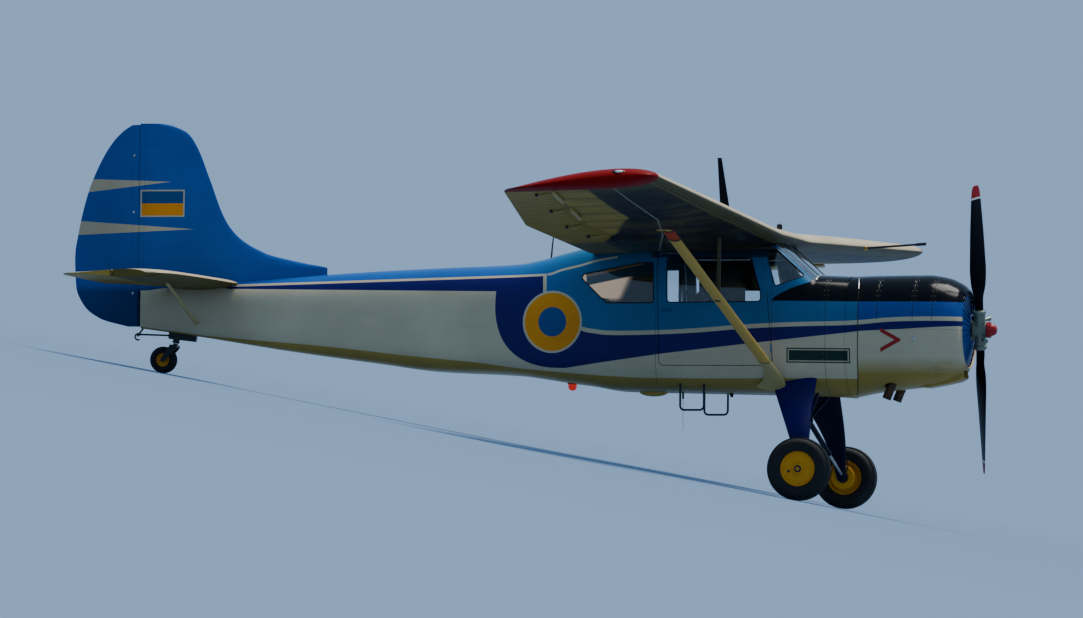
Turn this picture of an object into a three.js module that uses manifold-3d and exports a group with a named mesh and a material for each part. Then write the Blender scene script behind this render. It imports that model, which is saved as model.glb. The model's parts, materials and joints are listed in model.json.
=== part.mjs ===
// A four-seat high-wing utility aeroplane with a radial engine and a tail wheel, standing on its gear.
// Millimetres. Everything is drawn level, with X forward, Y to the left and Z up from the main tyres'
// underside, and is then pitched nose-up onto its tail wheel.
import * as THREE from "three";
import { mergeVertices } from "three/addons/utils/BufferGeometryUtils.js";
import Module from "manifold-3d";

const wasm = await Module();
wasm.setup();

// Driving dimensions
const GAP = 0.3; // between pieces that touch
const FAR = 8000; // longer than the aeroplane's half span, for cutting boxes
const DEG = Math.PI / 180;

const MAIN_WHEEL = { x: 33, y: 1100, radius: 297.5, width: 185, hub: 165, hubWidth: 150 };
const TAIL_WHEEL = { x: -6400, z: 1364, radius: 127.5, width: 104, hub: 66, hubWidth: 70 };
const SWIVEL_AHEAD = 85; // the tail wheel trails its swivel by this much
const PARK_PITCH =
  Math.atan2(TAIL_WHEEL.z - MAIN_WHEEL.radius, MAIN_WHEEL.x - TAIL_WHEEL.x) +
  Math.asin(
    (MAIN_WHEEL.radius - TAIL_WHEEL.radius) /
      Math.hypot(MAIN_WHEEL.x - TAIL_WHEEL.x, TAIL_WHEEL.z - MAIN_WHEEL.radius),
  );

const SKIN = 30; // thickness of the cabin walls and doors
const GLASS = { proud: 3, thick: 6 }; // set in from the outer skin, and its own thickness
const THRUST_Z = 1653;
const FIREWALL_X = 335;
const CABIN_REAR_X = -2400;
const STERN_X = -6625;
const FLOOR_Z = 1200;
const ROOF_Z = 2400;
const DECK = { x: 45, z: 1900 }; // the scuttle ahead of the windscreen
const ROOT_Y = 660;

const WING = {
  leadX: -240,
  leadZ: 2514,
  chord: 1850,
  tipChord: 1400,
  kinkY: 3400,
  endY: 6100,
  tipY: 6300,
  dihedral: 2.25 * DEG,
  incidence: 5.2 * DEG,
  thickness: 0.125,
  camber: 0.02,
  hinge: 0.7, // of the chord
  noseRadius: 0.031, // of the flap and the aileron, of the chord
  noseGap: 0.005,
};

const TAIL = {
  rudderHingeX: -6675,
  rudderNose: 38,
  noseGap: 8,
  elevatorHinge: { x: -6400, z: 2090 },
  elevatorNose: 30,
  rootY: 58,
};

const PROP = { x: 1530, radius: 1375, lean: 12 * DEG, socket: 190 };

// Colours
const PAINT = {
  blue: [0x2f78a8, 0.4, 0.1],
  cream: [0xd9d6c4, 0.45, 0.05],
  navy: [0x101a5c, 0.4, 0.1],
  black: [0x14161a, 0.5, 0.1],
  steel: [0x8f959b, 0.35, 0.9],
  yellow: [0xe0b41c, 0.45, 0.1],
  rubber: [0x1b1b1c, 0.9, 0],
  glass: [0x9fb4bd, 0.1, 0],
  leather: [0x4a3a2c, 0.8, 0],
  green: [0x5c6a5a, 0.5, 0.3],
};
const paints = Object.fromEntries(
  Object.entries(PAINT).map(([name, [color, roughness, metalness]]) => [
    name,
    new THREE.MeshStandardMaterial({ color, roughness, metalness }),
  ]),
);

// Solids
function solidOf(geometry) {
  const bare = geometry.clone();
  bare.deleteAttribute("normal");
  bare.deleteAttribute("uv");
  const merged = mergeVertices(bare, 1e-3);
  return new wasm.Manifold(
    new wasm.Mesh({
      numProp: 3,
      vertProperties: merged.attributes.position.array,
      triVerts: new Uint32Array(merged.index.array),
    }),
  );
}

function geometryOf(solid) {
  const mesh = solid.getMesh();
  const geometry = new THREE.BufferGeometry();
  geometry.setAttribute("position", new THREE.BufferAttribute(mesh.vertProperties, 3));
  geometry.setIndex(new THREE.BufferAttribute(mesh.triVerts, 1));
  geometry.computeVertexNormals();
  return geometry;
}

const joined = (...solids) => solids.reduce((all, next) => all.add(next));
const flatArea = (points) =>
  points.reduce((sum, [a, b], i) => {
    const [c, d] = points[(i + 1) % points.length];
    return sum + (a * d - c * b) / 2;
  }, 0);

// A solid through closed rings of [x, y, z] points, all with the same count.
function loft(rings) {
  const count = rings[0].length;
  const drop = [0, 1, 2]
    .map((axis) => {
      const kept = [0, 1, 2].filter((other) => other !== axis);
      return { kept, area: Math.abs(flatArea(rings[0].map((p) => kept.map((k) => p[k])))) };
    })
    .sort((a, b) => b.area - a.area)[0];
  const outline = rings[0].map((p) => new THREE.Vector2(...drop.kept.map((k) => p[k])));
  const outlineArea = THREE.ShapeUtils.area(outline);
  const cap = THREE.ShapeUtils.triangulateShape(outline, []).map(([a, b, c]) =>
    THREE.ShapeUtils.area([outline[a], outline[b], outline[c]]) * outlineArea < 0
      ? [a, c, b]
      : [a, b, c],
  );
  const index = [];
  const last = (rings.length - 1) * count;
  for (const [a, b, c] of cap) {
    index.push(a, c, b, last + a, last + b, last + c);
  }
  for (let ring = 0; ring < rings.length - 1; ring++) {
    for (let i = 0; i < count; i++) {
      const here = ring * count;
      const next = (i + 1) % count;
      index.push(here + i, here + next, here + count + next);
      index.push(here + i, here + count + next, here + count + i);
    }
  }
  const position = new Float32Array(rings.flat(2));
  const geometry = new THREE.BufferGeometry();
  geometry.setAttribute("position", new THREE.BufferAttribute(position, 3));
  geometry.setIndex(index);
  const made = solidOf(geometry);
  if (made.volume() > 0) return made;
  geometry.setIndex(index.map((_, k) => index[k - (k % 3) + 2 - (k % 3)]));
  return solidOf(geometry);
}

const box = (x0, x1, y0, y1, z0, z1) =>
  solidOf(
    new THREE.BoxGeometry(x1 - x0, y1 - y0, z1 - z0).translate(
      (x0 + x1) / 2,
      (y0 + y1) / 2,
      (z0 + z1) / 2,
    ),
  );

// A side outline of [x, z] points, pushed through from y0 to y1.
const sideSlab = (points, y0, y1) =>
  loft([y0, y1].map((y) => points.map(([x, z]) => [x, y, z])));

// A plan outline of [x, y] points, from z0 to z1.
const planSlab = (points, z0, z1) =>
  loft([z0, z1].map((z) => points.map(([x, y]) => [x, y, z])));

// A convex outline with each edge moved outwards.
function grownOutline(points, by) {
  const turn = Math.sign(flatArea(points));
  const edges = points.map(([ax, az], i) => {
    const [bx, bz] = points[(i + 1) % points.length];
    const length = Math.hypot(bx - ax, bz - az);
    const [nx, nz] = [(turn * (bz - az)) / length, (-turn * (bx - ax)) / length];
    return { nx, nz, d: nx * ax + nz * az + by };
  });
  return edges.map((edge, i) => {
    const before = edges[(i + edges.length - 1) % edges.length];
    const det = before.nx * edge.nz - before.nz * edge.nx;
    return [
      (before.d * edge.nz - edge.d * before.nz) / det,
      (before.nx * edge.d - edge.nx * before.d) / det,
    ];
  });
}

// A round bar between two points.
function rod(from, to, radius, sides = 12, endRadius = radius) {
  const a = new THREE.Vector3(...from);
  const b = new THREE.Vector3(...to);
  const geometry = new THREE.CylinderGeometry(endRadius, radius, a.distanceTo(b), sides);
  const up = new THREE.Vector3(0, 1, 0);
  const along = b.clone().sub(a).normalize();
  geometry.applyQuaternion(new THREE.Quaternion().setFromUnitVectors(up, along));
  geometry.translate(...a.add(b).multiplyScalar(0.5));
  return solidOf(geometry);
}

// A faired strut: a lens section with its chord along X, between two points that may differ in size.
function fairedStrut(ends, sides = 12) {
  return loft(
    ends.map(({ at: [x, y, z], chord, thick }) =>
      Array.from({ length: sides }, (_, i) => {
        const turn = (i / sides) * 2 * Math.PI;
        return [
          x + (chord / 2) * Math.cos(turn),
          y - (thick / 2) * Math.sin(turn) * 0.55,
          z + (thick / 2) * Math.sin(turn) * 0.84,
        ];
      }),
    ),
  );
}

// A bent round bar through given points.
function bentRod(points, radius, steps, sides = 8) {
  const shape = new THREE.Shape().absarc(0, 0, radius, 0, 2 * Math.PI);
  const path = new THREE.CatmullRomCurve3(
    points.map((p) => new THREE.Vector3(...p)),
    false,
    "catmullrom",
    0.2,
  );
  return solidOf(
    new THREE.ExtrudeGeometry(shape, { steps, curveSegments: sides / 2, extrudePath: path }),
  );
}

// A body of revolution about a line along X at a given height, from [x, radius] points.
function turnedX(profile, height, sides = 32) {
  const points = profile.map(([x, radius]) => new THREE.Vector2(radius, x));
  return solidOf(
    new THREE.LatheGeometry(points, sides).rotateZ(-Math.PI / 2).translate(0, 0, height),
  );
}

// Fuselage: rounded sections across X. The powers say how square each half is.
// x, half width, bottom, top, widest height, power below, power above
const CABIN_SECTIONS = [
  [FIREWALL_X, 540, 1008, 2152, 1640, 2.9, 2.9],
  [20, 600, 1028, 2160, 1640, 3.6, 3.6],
  [-330, 645, 1038, 2472, 1700, 4.6, 5.0],
  [-1200, 660, 1058, 2475, 1700, 5.0, 5.0],
  [-1900, 650, 1072, 2455, 1700, 4.6, 4.6],
  [-2215, 632, 1120, 2418, 1710, 4.2, 3.8],
  [CABIN_REAR_X, 615, 1143, 2378, 1715, 4.1, 3.3],
];
const CONE_SECTIONS = [
  [CABIN_REAR_X - GAP, 615, 1143, 2378, 1715, 4.1, 3.3],
  [-2640, 580, 1180, 2318, 1725, 4.1, 2.8],
  [-2900, 548, 1215, 2272, 1735, 4.2, 2.5],
  [-3720, 445, 1256, 2236, 1745, 4.3, 2.3],
  [-4280, 375, 1328, 2208, 1755, 4.3, 2.2],
  [-5180, 262, 1449, 2150, 1790, 4.1, 2.1],
  [-6070, 152, 1588, 2092, 1840, 3.6, 2.0],
  [STERN_X, 52, 1664, 2057, 1860, 3.2, 2.4],
];
const SECTION_POINTS = 32;

function sectionRing([x, half, bottom, top, widest, powerBelow, powerAbove], inset) {
  return Array.from({ length: SECTION_POINTS }, (_, i) => {
    const turn = ((i + 0.5) / SECTION_POINTS) * 2 * Math.PI;
    const [c, s] = [Math.cos(turn), Math.sin(turn)];
    const power = 2 / (s > 0 ? powerAbove : powerBelow);
    const height = s > 0 ? top - inset - widest : widest - bottom - inset;
    return [
      x,
      (half - inset) * Math.sign(c) * Math.abs(c) ** power,
      widest + height * Math.sign(s) * Math.abs(s) ** power,
    ];
  });
}

const hull = (sections, inset) => loft(sections.map((row) => sectionRing(row, inset)));

// The same sections run a little past both ends, to cut a tube open.
function bored(sections, inset) {
  const rings = sections.map((row) => sectionRing(row, inset));
  const outward = Math.sign(sections[0][0] - sections.at(-1)[0]);
  rings[0].forEach((p) => (p[0] += outward));
  rings.at(-1).forEach((p) => (p[0] -= outward));
  return loft(rings);
}

const cabinOuter = hull(CABIN_SECTIONS, 0);
const cabinTube = cabinOuter.subtract(bored(CABIN_SECTIONS, SKIN));
const cabinGrown = bored(CABIN_SECTIONS, -2 * GAP);
const glassShell = hull(CABIN_SECTIONS, GLASS.proud).subtract(
  bored(CABIN_SECTIONS, GLASS.proud + GLASS.thick),
);
const cabinInside = hull(CABIN_SECTIONS, SKIN + GAP);
const tailCone = hull(CONE_SECTIONS, 0);
const tailConeGrown = bored(CONE_SECTIONS, -2 * GAP);

// Side outlines of [x, z] points
const DOOR = [
  [-1415, 1290],
  [-328, 1290],
  [-422, 2342],
  [-1440, 2342],
];
const DOOR_WINDOW = [
  [-1343, 1880],
  [-446, 1890],
  [-450, 1985],
  [-546, 2304],
  [-1352, 2304],
];
const FRONT_WINDOW = [
  [-310, 2033],
  [-48, 2138],
  [-322, 2388],
  [-412, 2386],
];
const REAR_WINDOW = [
  [-1473, 1876],
  [-1484, 2258],
  [-1615, 2256],
  [-2157, 2151],
  [-2180, 2113],
  [-1933, 1876],
];
const WINDSCREEN = [
  [DECK.x, 2090],
  [DECK.x, 2700],
  [-350, 2700],
  [-350, 2448],
];
const DOOR_GAP = 6;
const WINDOW_GAP = 0.5;
const through = (outline, grow = 0) => sideSlab(grownOutline(outline, grow), 1, FAR);
const leftHalf = box(-FAR, FAR, GAP, FAR, 0, FAR);

const sideShell = cabinTube
  .intersect(leftHalf)
  .intersect(box(-FAR, FAR, -1, FAR, FLOOR_Z, ROOF_Z))
  .subtract(box(DECK.x - GAP, FAR, -1, FAR, DECK.z - GAP, FAR))
  .subtract(sideSlab(grownOutline(WINDSCREEN, GAP), -1, FAR));
const cabinSide = sideShell
  .subtract(through(DOOR, DOOR_GAP))
  .subtract(through(FRONT_WINDOW, WINDOW_GAP))
  .subtract(through(REAR_WINDOW, WINDOW_GAP));
const door = cabinTube
  .intersect(through(DOOR))
  .subtract(through(DOOR_WINDOW, WINDOW_GAP));
const paneIn = (outline) => glassShell.intersect(through(outline));

const cabinFloor = cabinOuter.intersect(box(-FAR, FAR, -FAR, FAR, 0, FLOOR_Z - GAP));
const noseDeck = cabinTube.intersect(box(DECK.x + GAP, FAR, -FAR, FAR, DECK.z, FAR));
const windscreen = glassShell.intersect(sideSlab(WINDSCREEN, -FAR, FAR));
const firewall = cabinInside.intersect(
  box(FIREWALL_X - 22, FIREWALL_X - 2, -FAR, FAR, FLOOR_Z, FAR),
);

// Wing section: chord fractions run back from the leading edge, heights are in chords.
const halfThickness = (f) =>
  5 *
    WING.thickness *
    (0.2969 * Math.sqrt(f) - 0.126 * f - 0.3516 * f ** 2 + 0.2843 * f ** 3 - 0.1015 * f ** 4) +
  0.0015 * f;
const camberAt = (f) => 4 * WING.camber * f * (1 - f);
const upper = (f) => [f, camberAt(f) + halfThickness(f)];
const lower = (f) => [f, camberAt(f) - halfThickness(f)];
const hingeAt = [WING.hinge, camberAt(WING.hinge)];
const arcPoints = (radius, from, to, steps) =>
  Array.from({ length: steps + 1 }, (_, i) => {
    const turn = (from + ((to - from) * i) / steps) * DEG;
    return [hingeAt[0] + radius * Math.cos(turn), hingeAt[1] + radius * Math.sin(turn)];
  });
const SLAT_JOINT = { top: 0.13, bottom: 0.035, gap: 0.0005 };
const COVE = { lip: 0.684, from: 245, to: 115 }; // where the skins end ahead of the hinge, and its arc
const NOSE_ARC = { from: 70, to: 290 };

const SLAT_SECTION = [
  upper(SLAT_JOINT.top),
  ...[0.07, 0.03, 0.01].map(upper),
  [0, 0],
  ...[0.01, SLAT_JOINT.bottom].map(lower),
];
const MAIN_SECTION = [
  upper(SLAT_JOINT.top + SLAT_JOINT.gap),
  lower(SLAT_JOINT.bottom + SLAT_JOINT.gap),
  ...[0.09, 0.2, 0.35, 0.52].map(lower),
  lower(COVE.lip),
  ...arcPoints(WING.noseRadius + WING.noseGap, COVE.from, COVE.to, 6),
  upper(COVE.lip),
  ...[0.52, 0.35, 0.22].map(upper),
];
const FLAP_SECTION = [
  ...arcPoints(WING.noseRadius, NOSE_ARC.from, NOSE_ARC.to, 8),
  lower(0.74),
  lower(0.87),
  lower(1),
  upper(1),
  upper(0.87),
  upper(0.74),
];
const TIP_SECTION = [
  ...[1, 0.85, 0.7, 0.52, 0.35, 0.2, 0.09, 0.03].map(upper),
  [0, 0],
  ...[0.03, 0.09, 0.2, 0.35, 0.52, 0.7, 0.85, 1].map(lower),
];

const chordAt = (y) =>
  y < WING.kinkY
    ? WING.chord
    : WING.chord -
      ((WING.chord - WING.tipChord) * (y - WING.kinkY)) / (WING.tipY - WING.kinkY);

function wingPoint(y, [f, height], chord = chordAt(y), lead = WING.leadX) {
  const [c, s] = [Math.cos(WING.incidence), Math.sin(WING.incidence)];
  return [
    lead - chord * (f * c - height * s),
    y,
    WING.leadZ + (y - ROOT_Y) * Math.tan(WING.dihedral) + chord * (height * c - f * s),
  ];
}
const wingLoft = (section, stations) =>
  loft(stations.map((y) => section.map((point) => wingPoint(y, point))));

const FLAP_SPAN = [700, 3395];
const AILERON_SPAN = [3410, 6095];
// y, chord share, height share, set back of the leading edge
const TIP_STATIONS = [
  [WING.endY + 2, 1, 1, 0],
  [WING.tipY - 90, 0.985, 0.9, 10],
  [WING.tipY - 25, 0.93, 0.6, 45],
  [WING.tipY, 0.86, 0.25, 90],
];
const wingTip = loft(
  TIP_STATIONS.map(([y, share, flat, back]) =>
    TIP_SECTION.map(([f, height]) =>
      wingPoint(y, [f, height * flat], chordAt(y) * share, WING.leadX - back),
    ),
  ),
);
const SPAN = [ROOT_Y + GAP, WING.kinkY, WING.endY + 3];
const wing = joined(wingLoft(MAIN_SECTION, SPAN), wingTip);
const slat = wingLoft(SLAT_SECTION, [SPAN[0], SPAN[1], WING.endY]);
const flap = wingLoft(FLAP_SECTION, FLAP_SPAN);
const aileron = wingLoft(FLAP_SECTION, AILERON_SPAN);

// The roof carries the wing's centre section between the two root ribs.
const centreSection = loft(
  [-ROOT_Y, ROOT_Y].map((y) =>
    TIP_SECTION.map((point) => wingPoint(ROOT_Y, point).map((v, axis) => (axis === 1 ? y : v))),
  ),
);
const BROW = { x: -350, z: 2476 }; // the windscreen's top edge, under the leading edge
const aboveSides = box(-FAR, FAR, -FAR, FAR, ROOF_Z + GAP, FAR);
const cabinRoof = joined(
  cabinTube.intersect(aboveSides).intersect(box(-FAR, BROW.x - GAP, -FAR, FAR, 0, FAR)),
  centreSection.intersect(aboveSides).subtract(cabinOuter),
  centreSection.subtract(aboveSides.translate([0, 0, 1])).subtract(cabinGrown),
)
  .subtract(hull(CABIN_SECTIONS, SKIN))
  .subtract(box(BROW.x - GAP, FAR, -FAR, FAR, 0, BROW.z));

// Wing struts, from the lower corner of the cabin to the front spar
const STRUT = {
  foot: [-245, 560, 1097],
  top: [-977, 2750, 2559],
  chord: 112,
  thick: 48,
  cuffFoot: [-355, 560, 1097],
  cuffChord: 285,
  cuffThick: 100,
  cuffShare: 0.15,
  cuffLip: 8,
  juryShare: 0.52,
  juryRadius: 17,
};
const along = (from, to, share) => from.map((v, i) => v + (to[i] - v) * share);
const juryFoot = along(STRUT.foot, STRUT.top, STRUT.juryShare);
const wingStrut = joined(
  fairedStrut([
    { at: STRUT.foot, chord: STRUT.chord, thick: STRUT.thick },
    { at: STRUT.top, chord: STRUT.chord, thick: STRUT.thick },
  ]),
  fairedStrut([
    { at: STRUT.cuffFoot, chord: STRUT.cuffChord, thick: STRUT.cuffThick },
    {
      at: along(STRUT.foot, STRUT.top, STRUT.cuffShare),
      chord: STRUT.chord + STRUT.cuffLip,
      thick: STRUT.thick + STRUT.cuffLip,
    },
  ]),
  rod(juryFoot, [juryFoot[0], juryFoot[1], WING.leadZ + 150], STRUT.juryRadius, 10),
)
  .subtract(wing.translate([0, 0, -GAP]))
  .subtract(wing.translate([0, 0, 120]))
  .subtract(cabinGrown);

// Cowling
// x, half width, bottom, top, widest height, power below, power above
const COWL_SECTIONS = [
  [FIREWALL_X + 1, 535, 1014, 2152, 1640, 2.7, 2.6],
  [600, 542, 1064, 2162, 1635, 2.5, 2.4],
  [1060, 538, 1118, 2168, 1635, 2.3, 2.2],
  [1240, 515, 1152, 2140, 1637, 2.15, 2.1],
  [1350, 468, 1198, 2094, 1645, 2.0, 2.0],
  [1405, 418, 1246, 2056, THRUST_Z, 2.0, 2.0],
  [1420, 385, 1276, 2038, THRUST_Z, 2.0, 2.0],
];
const COWL_SKIN = 22;
const COWL_SPLIT_Z = THRUST_Z - 20;
const cowlTube = hull(COWL_SECTIONS, 0).subtract(bored(COWL_SECTIONS, COWL_SKIN));
// The chin intake's duct, faired into the cowling's bottom line
const INTAKE = [
  [960, 1112],
  [1060, 1250],
  [1396, 1272],
  [1410, 1200],
  [1352, 1166],
  [1249, 1142],
  [1058, 1106],
];
const INTAKE_MOUTH = [
  [1300, 1262],
  [1430, 1270],
  [1430, 1204],
  [1300, 1186],
];
const INTAKE_HALF = { outer: 130, mouth: 108 };
const intake = sideSlab(INTAKE, -INTAKE_HALF.outer, INTAKE_HALF.outer).subtract(
  sideSlab(INTAKE_MOUTH, -INTAKE_HALF.mouth, INTAKE_HALF.mouth),
);
const EXHAUST = { x: 752, y: 250, radius: 42, collectorZ: 1200, endX: 690, endZ: 990 };
const EXHAUST_CLEARANCE = 5;
const EXHAUST_RISER = 30; // radius of the pipe from the engine to the collector
const exhaustShape = (grow) =>
  joined(
    rod(
      [EXHAUST.x, -EXHAUST.y - grow, EXHAUST.collectorZ],
      [EXHAUST.x, EXHAUST.y + grow, EXHAUST.collectorZ],
      EXHAUST.radius + grow,
      16,
    ),
    ...[-1, 1].map((side) =>
      rod(
        [EXHAUST.x, side * EXHAUST.y, EXHAUST.collectorZ],
        [EXHAUST.endX, side * EXHAUST.y, EXHAUST.endZ],
        EXHAUST.radius + grow,
        16,
      ),
    ),
  );
const cowlingLower = joined(
  cowlTube.intersect(box(-FAR, FAR, -FAR, FAR, 0, COWL_SPLIT_Z)),
  intake.subtract(hull(COWL_SECTIONS, COWL_SKIN / 2)),
)
  .subtract(exhaustShape(EXHAUST_CLEARANCE))
  .subtract(box(-FAR, FAR, -FAR, FAR, COWL_SPLIT_Z, FAR));
const cowlingUpper = cowlTube.intersect(
  box(-FAR, FAR, -FAR, FAR, COWL_SPLIT_Z + GAP, FAR),
);

const ENGINE = { rear: 860, front: 1280, radius: 420, bossRadius: 190, nose: 1452, noseRadius: 120 };
const engine = turnedX(
  [
    [FIREWALL_X - 2 + GAP, 0],
    [FIREWALL_X - 2 + GAP, ENGINE.bossRadius],
    [ENGINE.rear, ENGINE.bossRadius],
    [ENGINE.rear, ENGINE.radius],
    [ENGINE.front, ENGINE.radius],
    [ENGINE.front + 60, ENGINE.noseRadius + 40],
    [ENGINE.nose, ENGINE.noseRadius],
    [ENGINE.nose, 0],
  ],
  THRUST_Z,
  24,
);
const exhaust = joined(
  exhaustShape(0),
  rod([EXHAUST.x, 0, EXHAUST.collectorZ], [EXHAUST.x, 0, THRUST_Z], EXHAUST_RISER, 12),
).subtract(engine.translate([0, 0, -GAP]));
const shutterRing = turnedX(
  [
    [1392, 362],
    [1440, 240],
    [1462, ENGINE.noseRadius + 12],
    [1454, ENGINE.noseRadius + 12],
    [1432, 236],
    [1382, 358],
    [1392, 362],
  ],
  THRUST_Z,
  32,
);

// Tail: outlines by height or by span. Noses are round about the hinge.
function hingedSection(nose, rear, tail, steps = 6) {
  return [
    ...Array.from({ length: steps + 1 }, (_, i) => {
      const turn = (100 - (200 * i) / steps) * DEG;
      return [nose * Math.cos(turn), nose * Math.sin(turn)];
    }),
    [-rear, -tail],
    [-rear, tail],
  ];
}
function fixedSection(front, thick, nose, gap, steps = 6) {
  return [
    [front, 0],
    [front * 0.86, -thick * 0.62],
    [front * 0.5, -thick],
    [(nose + gap) * 0.9, -nose - 3],
    ...Array.from({ length: steps + 1 }, (_, i) => {
      const turn = (-55 + (110 * i) / steps) * DEG;
      return [(nose + gap) * Math.cos(turn), (nose + gap) * Math.sin(turn)];
    }),
    [(nose + gap) * 0.9, nose + 3],
    [front * 0.5, thick],
    [front * 0.86, thick * 0.62],
  ];
}
// height, leading edge, half thickness
const FIN_ROWS = [
  [1990, -4800, 60],
  [2240, -4800, 60],
  [2285, -5010, 58],
  [2380, -5400, 56],
  [2552, -5692, 55],
  [2704, -5809, 54],
  [3086, -5965, 50],
  [3419, -6105, 45],
  [3543, -6200, 42],
  [3600, -6310, 40],
  [3624, -6420, 39],
];
const fin = loft(
  FIN_ROWS.map(([z, lead, thick]) =>
    fixedSection(lead - TAIL.rudderHingeX, thick, TAIL.rudderNose, TAIL.noseGap).map(([x, y]) => [
      TAIL.rudderHingeX + x,
      y,
      z,
    ]),
  ),
).subtract(tailConeGrown);
// height, trailing edge
const RUDDER_ROWS = [
  [1682, -6760],
  [1751, -7018],
  [1880, -7193],
  [2066, -7276],
  [2361, -7290],
  [2561, -7262],
  [2760, -7222],
  [2971, -7165],
  [3229, -7060],
  [3440, -6935],
  [3560, -6820],
  [3612, -6740],
];
const rudder = loft(
  RUDDER_ROWS.map(([z, rear]) =>
    hingedSection(TAIL.rudderNose, TAIL.rudderHingeX - rear, 4).map(([x, y]) => [
      TAIL.rudderHingeX + x,
      y,
      z,
    ]),
  ),
);

// span, leading edge, trailing edge, half thickness
const TAILPLANE_ROWS = [
  [TAIL.rootY, -5650, -6955, 62],
  [1650, -5790, -6940, 50],
  [1900, -5845, -6890, 44],
  [2010, -5925, -6815, 40],
  [2060, -6050, -6700, 36],
];
const { x: ELEVATOR_X, z: ELEVATOR_Z } = TAIL.elevatorHinge;
const stabilizer = loft(
  TAILPLANE_ROWS.map(([y, lead, , thick]) =>
    fixedSection(lead - ELEVATOR_X, thick, TAIL.elevatorNose, TAIL.noseGap).map(([x, z]) => [
      ELEVATOR_X + x,
      y,
      ELEVATOR_Z + z,
    ]),
  ),
)
  .subtract(tailConeGrown)
  .subtract(fin.translate([0, GAP, 0]))
  .subtract(fin);
const elevator = loft(
  TAILPLANE_ROWS.map(([y, , rear]) =>
    hingedSection(TAIL.elevatorNose, ELEVATOR_X - rear, 4).map(([x, z]) => [
      ELEVATOR_X + x,
      y,
      ELEVATOR_Z + z,
    ]),
  ),
).subtract(
  planSlab(
    [
      [ELEVATOR_X + 100, -50],
      [ELEVATOR_X + 100, 118],
      [ELEVATOR_X - 30, 118],
      [-7100, 245],
      [-7100, -50],
    ],
    0,
    FAR,
  ),
);
const tailStrut = fairedStrut([
  { at: [-6040, 40, 1660], chord: 52, thick: 30 },
  { at: [-6090, 1180, 2120], chord: 52, thick: 30 },
])
  .subtract(tailConeGrown)
  .subtract(stabilizer.translate([0, 0, -GAP]))
  .subtract(stabilizer.translate([0, 0, 60]));

// Main gear: a faired leg each side, sprung against a pyramid under the belly
const LEG = {
  // x front, x rear, y, z, half thickness
  top: [74, -374, 500, 1185, 34],
  low: [76, -96, 880, 560, 30],
  end: [72, -8, 905, 262, 26],
  plate: { in: 955, out: 1000, radius: 112 },
};
const legRing = ([front, rear, y, z, half]) => [
  [front, y, z],
  [front * 0.7 + rear * 0.3, y + half, z],
  [front * 0.25 + rear * 0.75, y + half, z],
  [rear, y, z],
  [front * 0.25 + rear * 0.75, y - half, z],
  [front * 0.7 + rear * 0.3, y - half, z],
];
const wheelZ = MAIN_WHEEL.radius;
const AXLE_RADIUS = 24;
const WHEEL_BORE = 27;
const gearLeg = joined(
  loft([LEG.top, LEG.low, LEG.end].map(legRing)).subtract(cabinGrown),
  rod(
    [MAIN_WHEEL.x, LEG.end[2], wheelZ],
    [MAIN_WHEEL.x, MAIN_WHEEL.y + 60, wheelZ],
    AXLE_RADIUS,
    16,
  ),
  rod(
    [MAIN_WHEEL.x, LEG.plate.in, wheelZ],
    [MAIN_WHEEL.x, LEG.plate.out, wheelZ],
    LEG.plate.radius,
    24,
  ),
);
const strutOverLeg = wingStrut
  .subtract(gearLeg)
  .subtract(gearLeg.translate([-GAP, GAP, GAP]));
const APEX = [-110, 0, 800]; // where the belly pyramid and both shock struts meet
const SHOCK = { end: [40, 905, 310], radius: 14, sleeveRadius: 26, from: 0.1, to: 0.6 };
const PYRAMID = { front: [60, 330, 1090], rear: [-330, 330, 1100], radius: 19 };
const onSide = ([x, y, z], side) => [x, side * y, z];
const gearTruss = joined(
  ...[-1, 1].flatMap((side) => [
    rod(APEX, onSide(SHOCK.end, side), SHOCK.radius, 12),
    rod(
      along(APEX, onSide(SHOCK.end, side), SHOCK.from),
      along(APEX, onSide(SHOCK.end, side), SHOCK.to),
      SHOCK.sleeveRadius,
      12,
    ),
    rod(APEX, onSide(PYRAMID.front, side), PYRAMID.radius, 10),
    rod(APEX, onSide(PYRAMID.rear, side), PYRAMID.radius, 10),
  ]),
)
  .subtract(cabinGrown)
  .subtract(gearLeg.translate([0, -GAP, 0]))
  .subtract(gearLeg.translate([0, 60, 0]))
  .subtract(gearLeg.mirror([0, 1, 0]).translate([0, GAP, 0]))
  .subtract(gearLeg.mirror([0, 1, 0]).translate([0, -60, 0]));

// Wheels turn about Y. A flat of the tyre faces the ground when the aeroplane is parked.
const TYRE_SIDES = 28;
function turnedY(profile, sides) {
  const points = profile.map(([y, radius]) => new THREE.Vector2(radius, y));
  return solidOf(new THREE.LatheGeometry(points, sides).rotateY(Math.PI / sides + PARK_PITCH));
}
function tyreProfile(radius, width, hub) {
  const deep = (radius - hub) / 2;
  const middle = hub + deep;
  return [
    [-width * 0.38, hub + GAP],
    [-width * 0.5, middle],
    [-width * 0.44, radius - deep * 0.4],
    [-width * 0.24, radius],
    [width * 0.24, radius],
    [width * 0.44, radius - deep * 0.4],
    [width * 0.5, middle],
    [width * 0.38, hub + GAP],
    [-width * 0.38, hub + GAP],
  ];
}
function hubProfile(hub, width, bore) {
  return [
    [-width / 2, bore],
    [-width / 2 + 22, bore + 42],
    [-width / 2 + 22, hub - 22],
    [-width / 2, hub],
    [width / 2, hub],
    [width / 2 - 22, hub - 22],
    [width / 2 - 22, bore + 42],
    [width / 2, bore],
    [-width / 2, bore],
  ];
}
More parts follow.
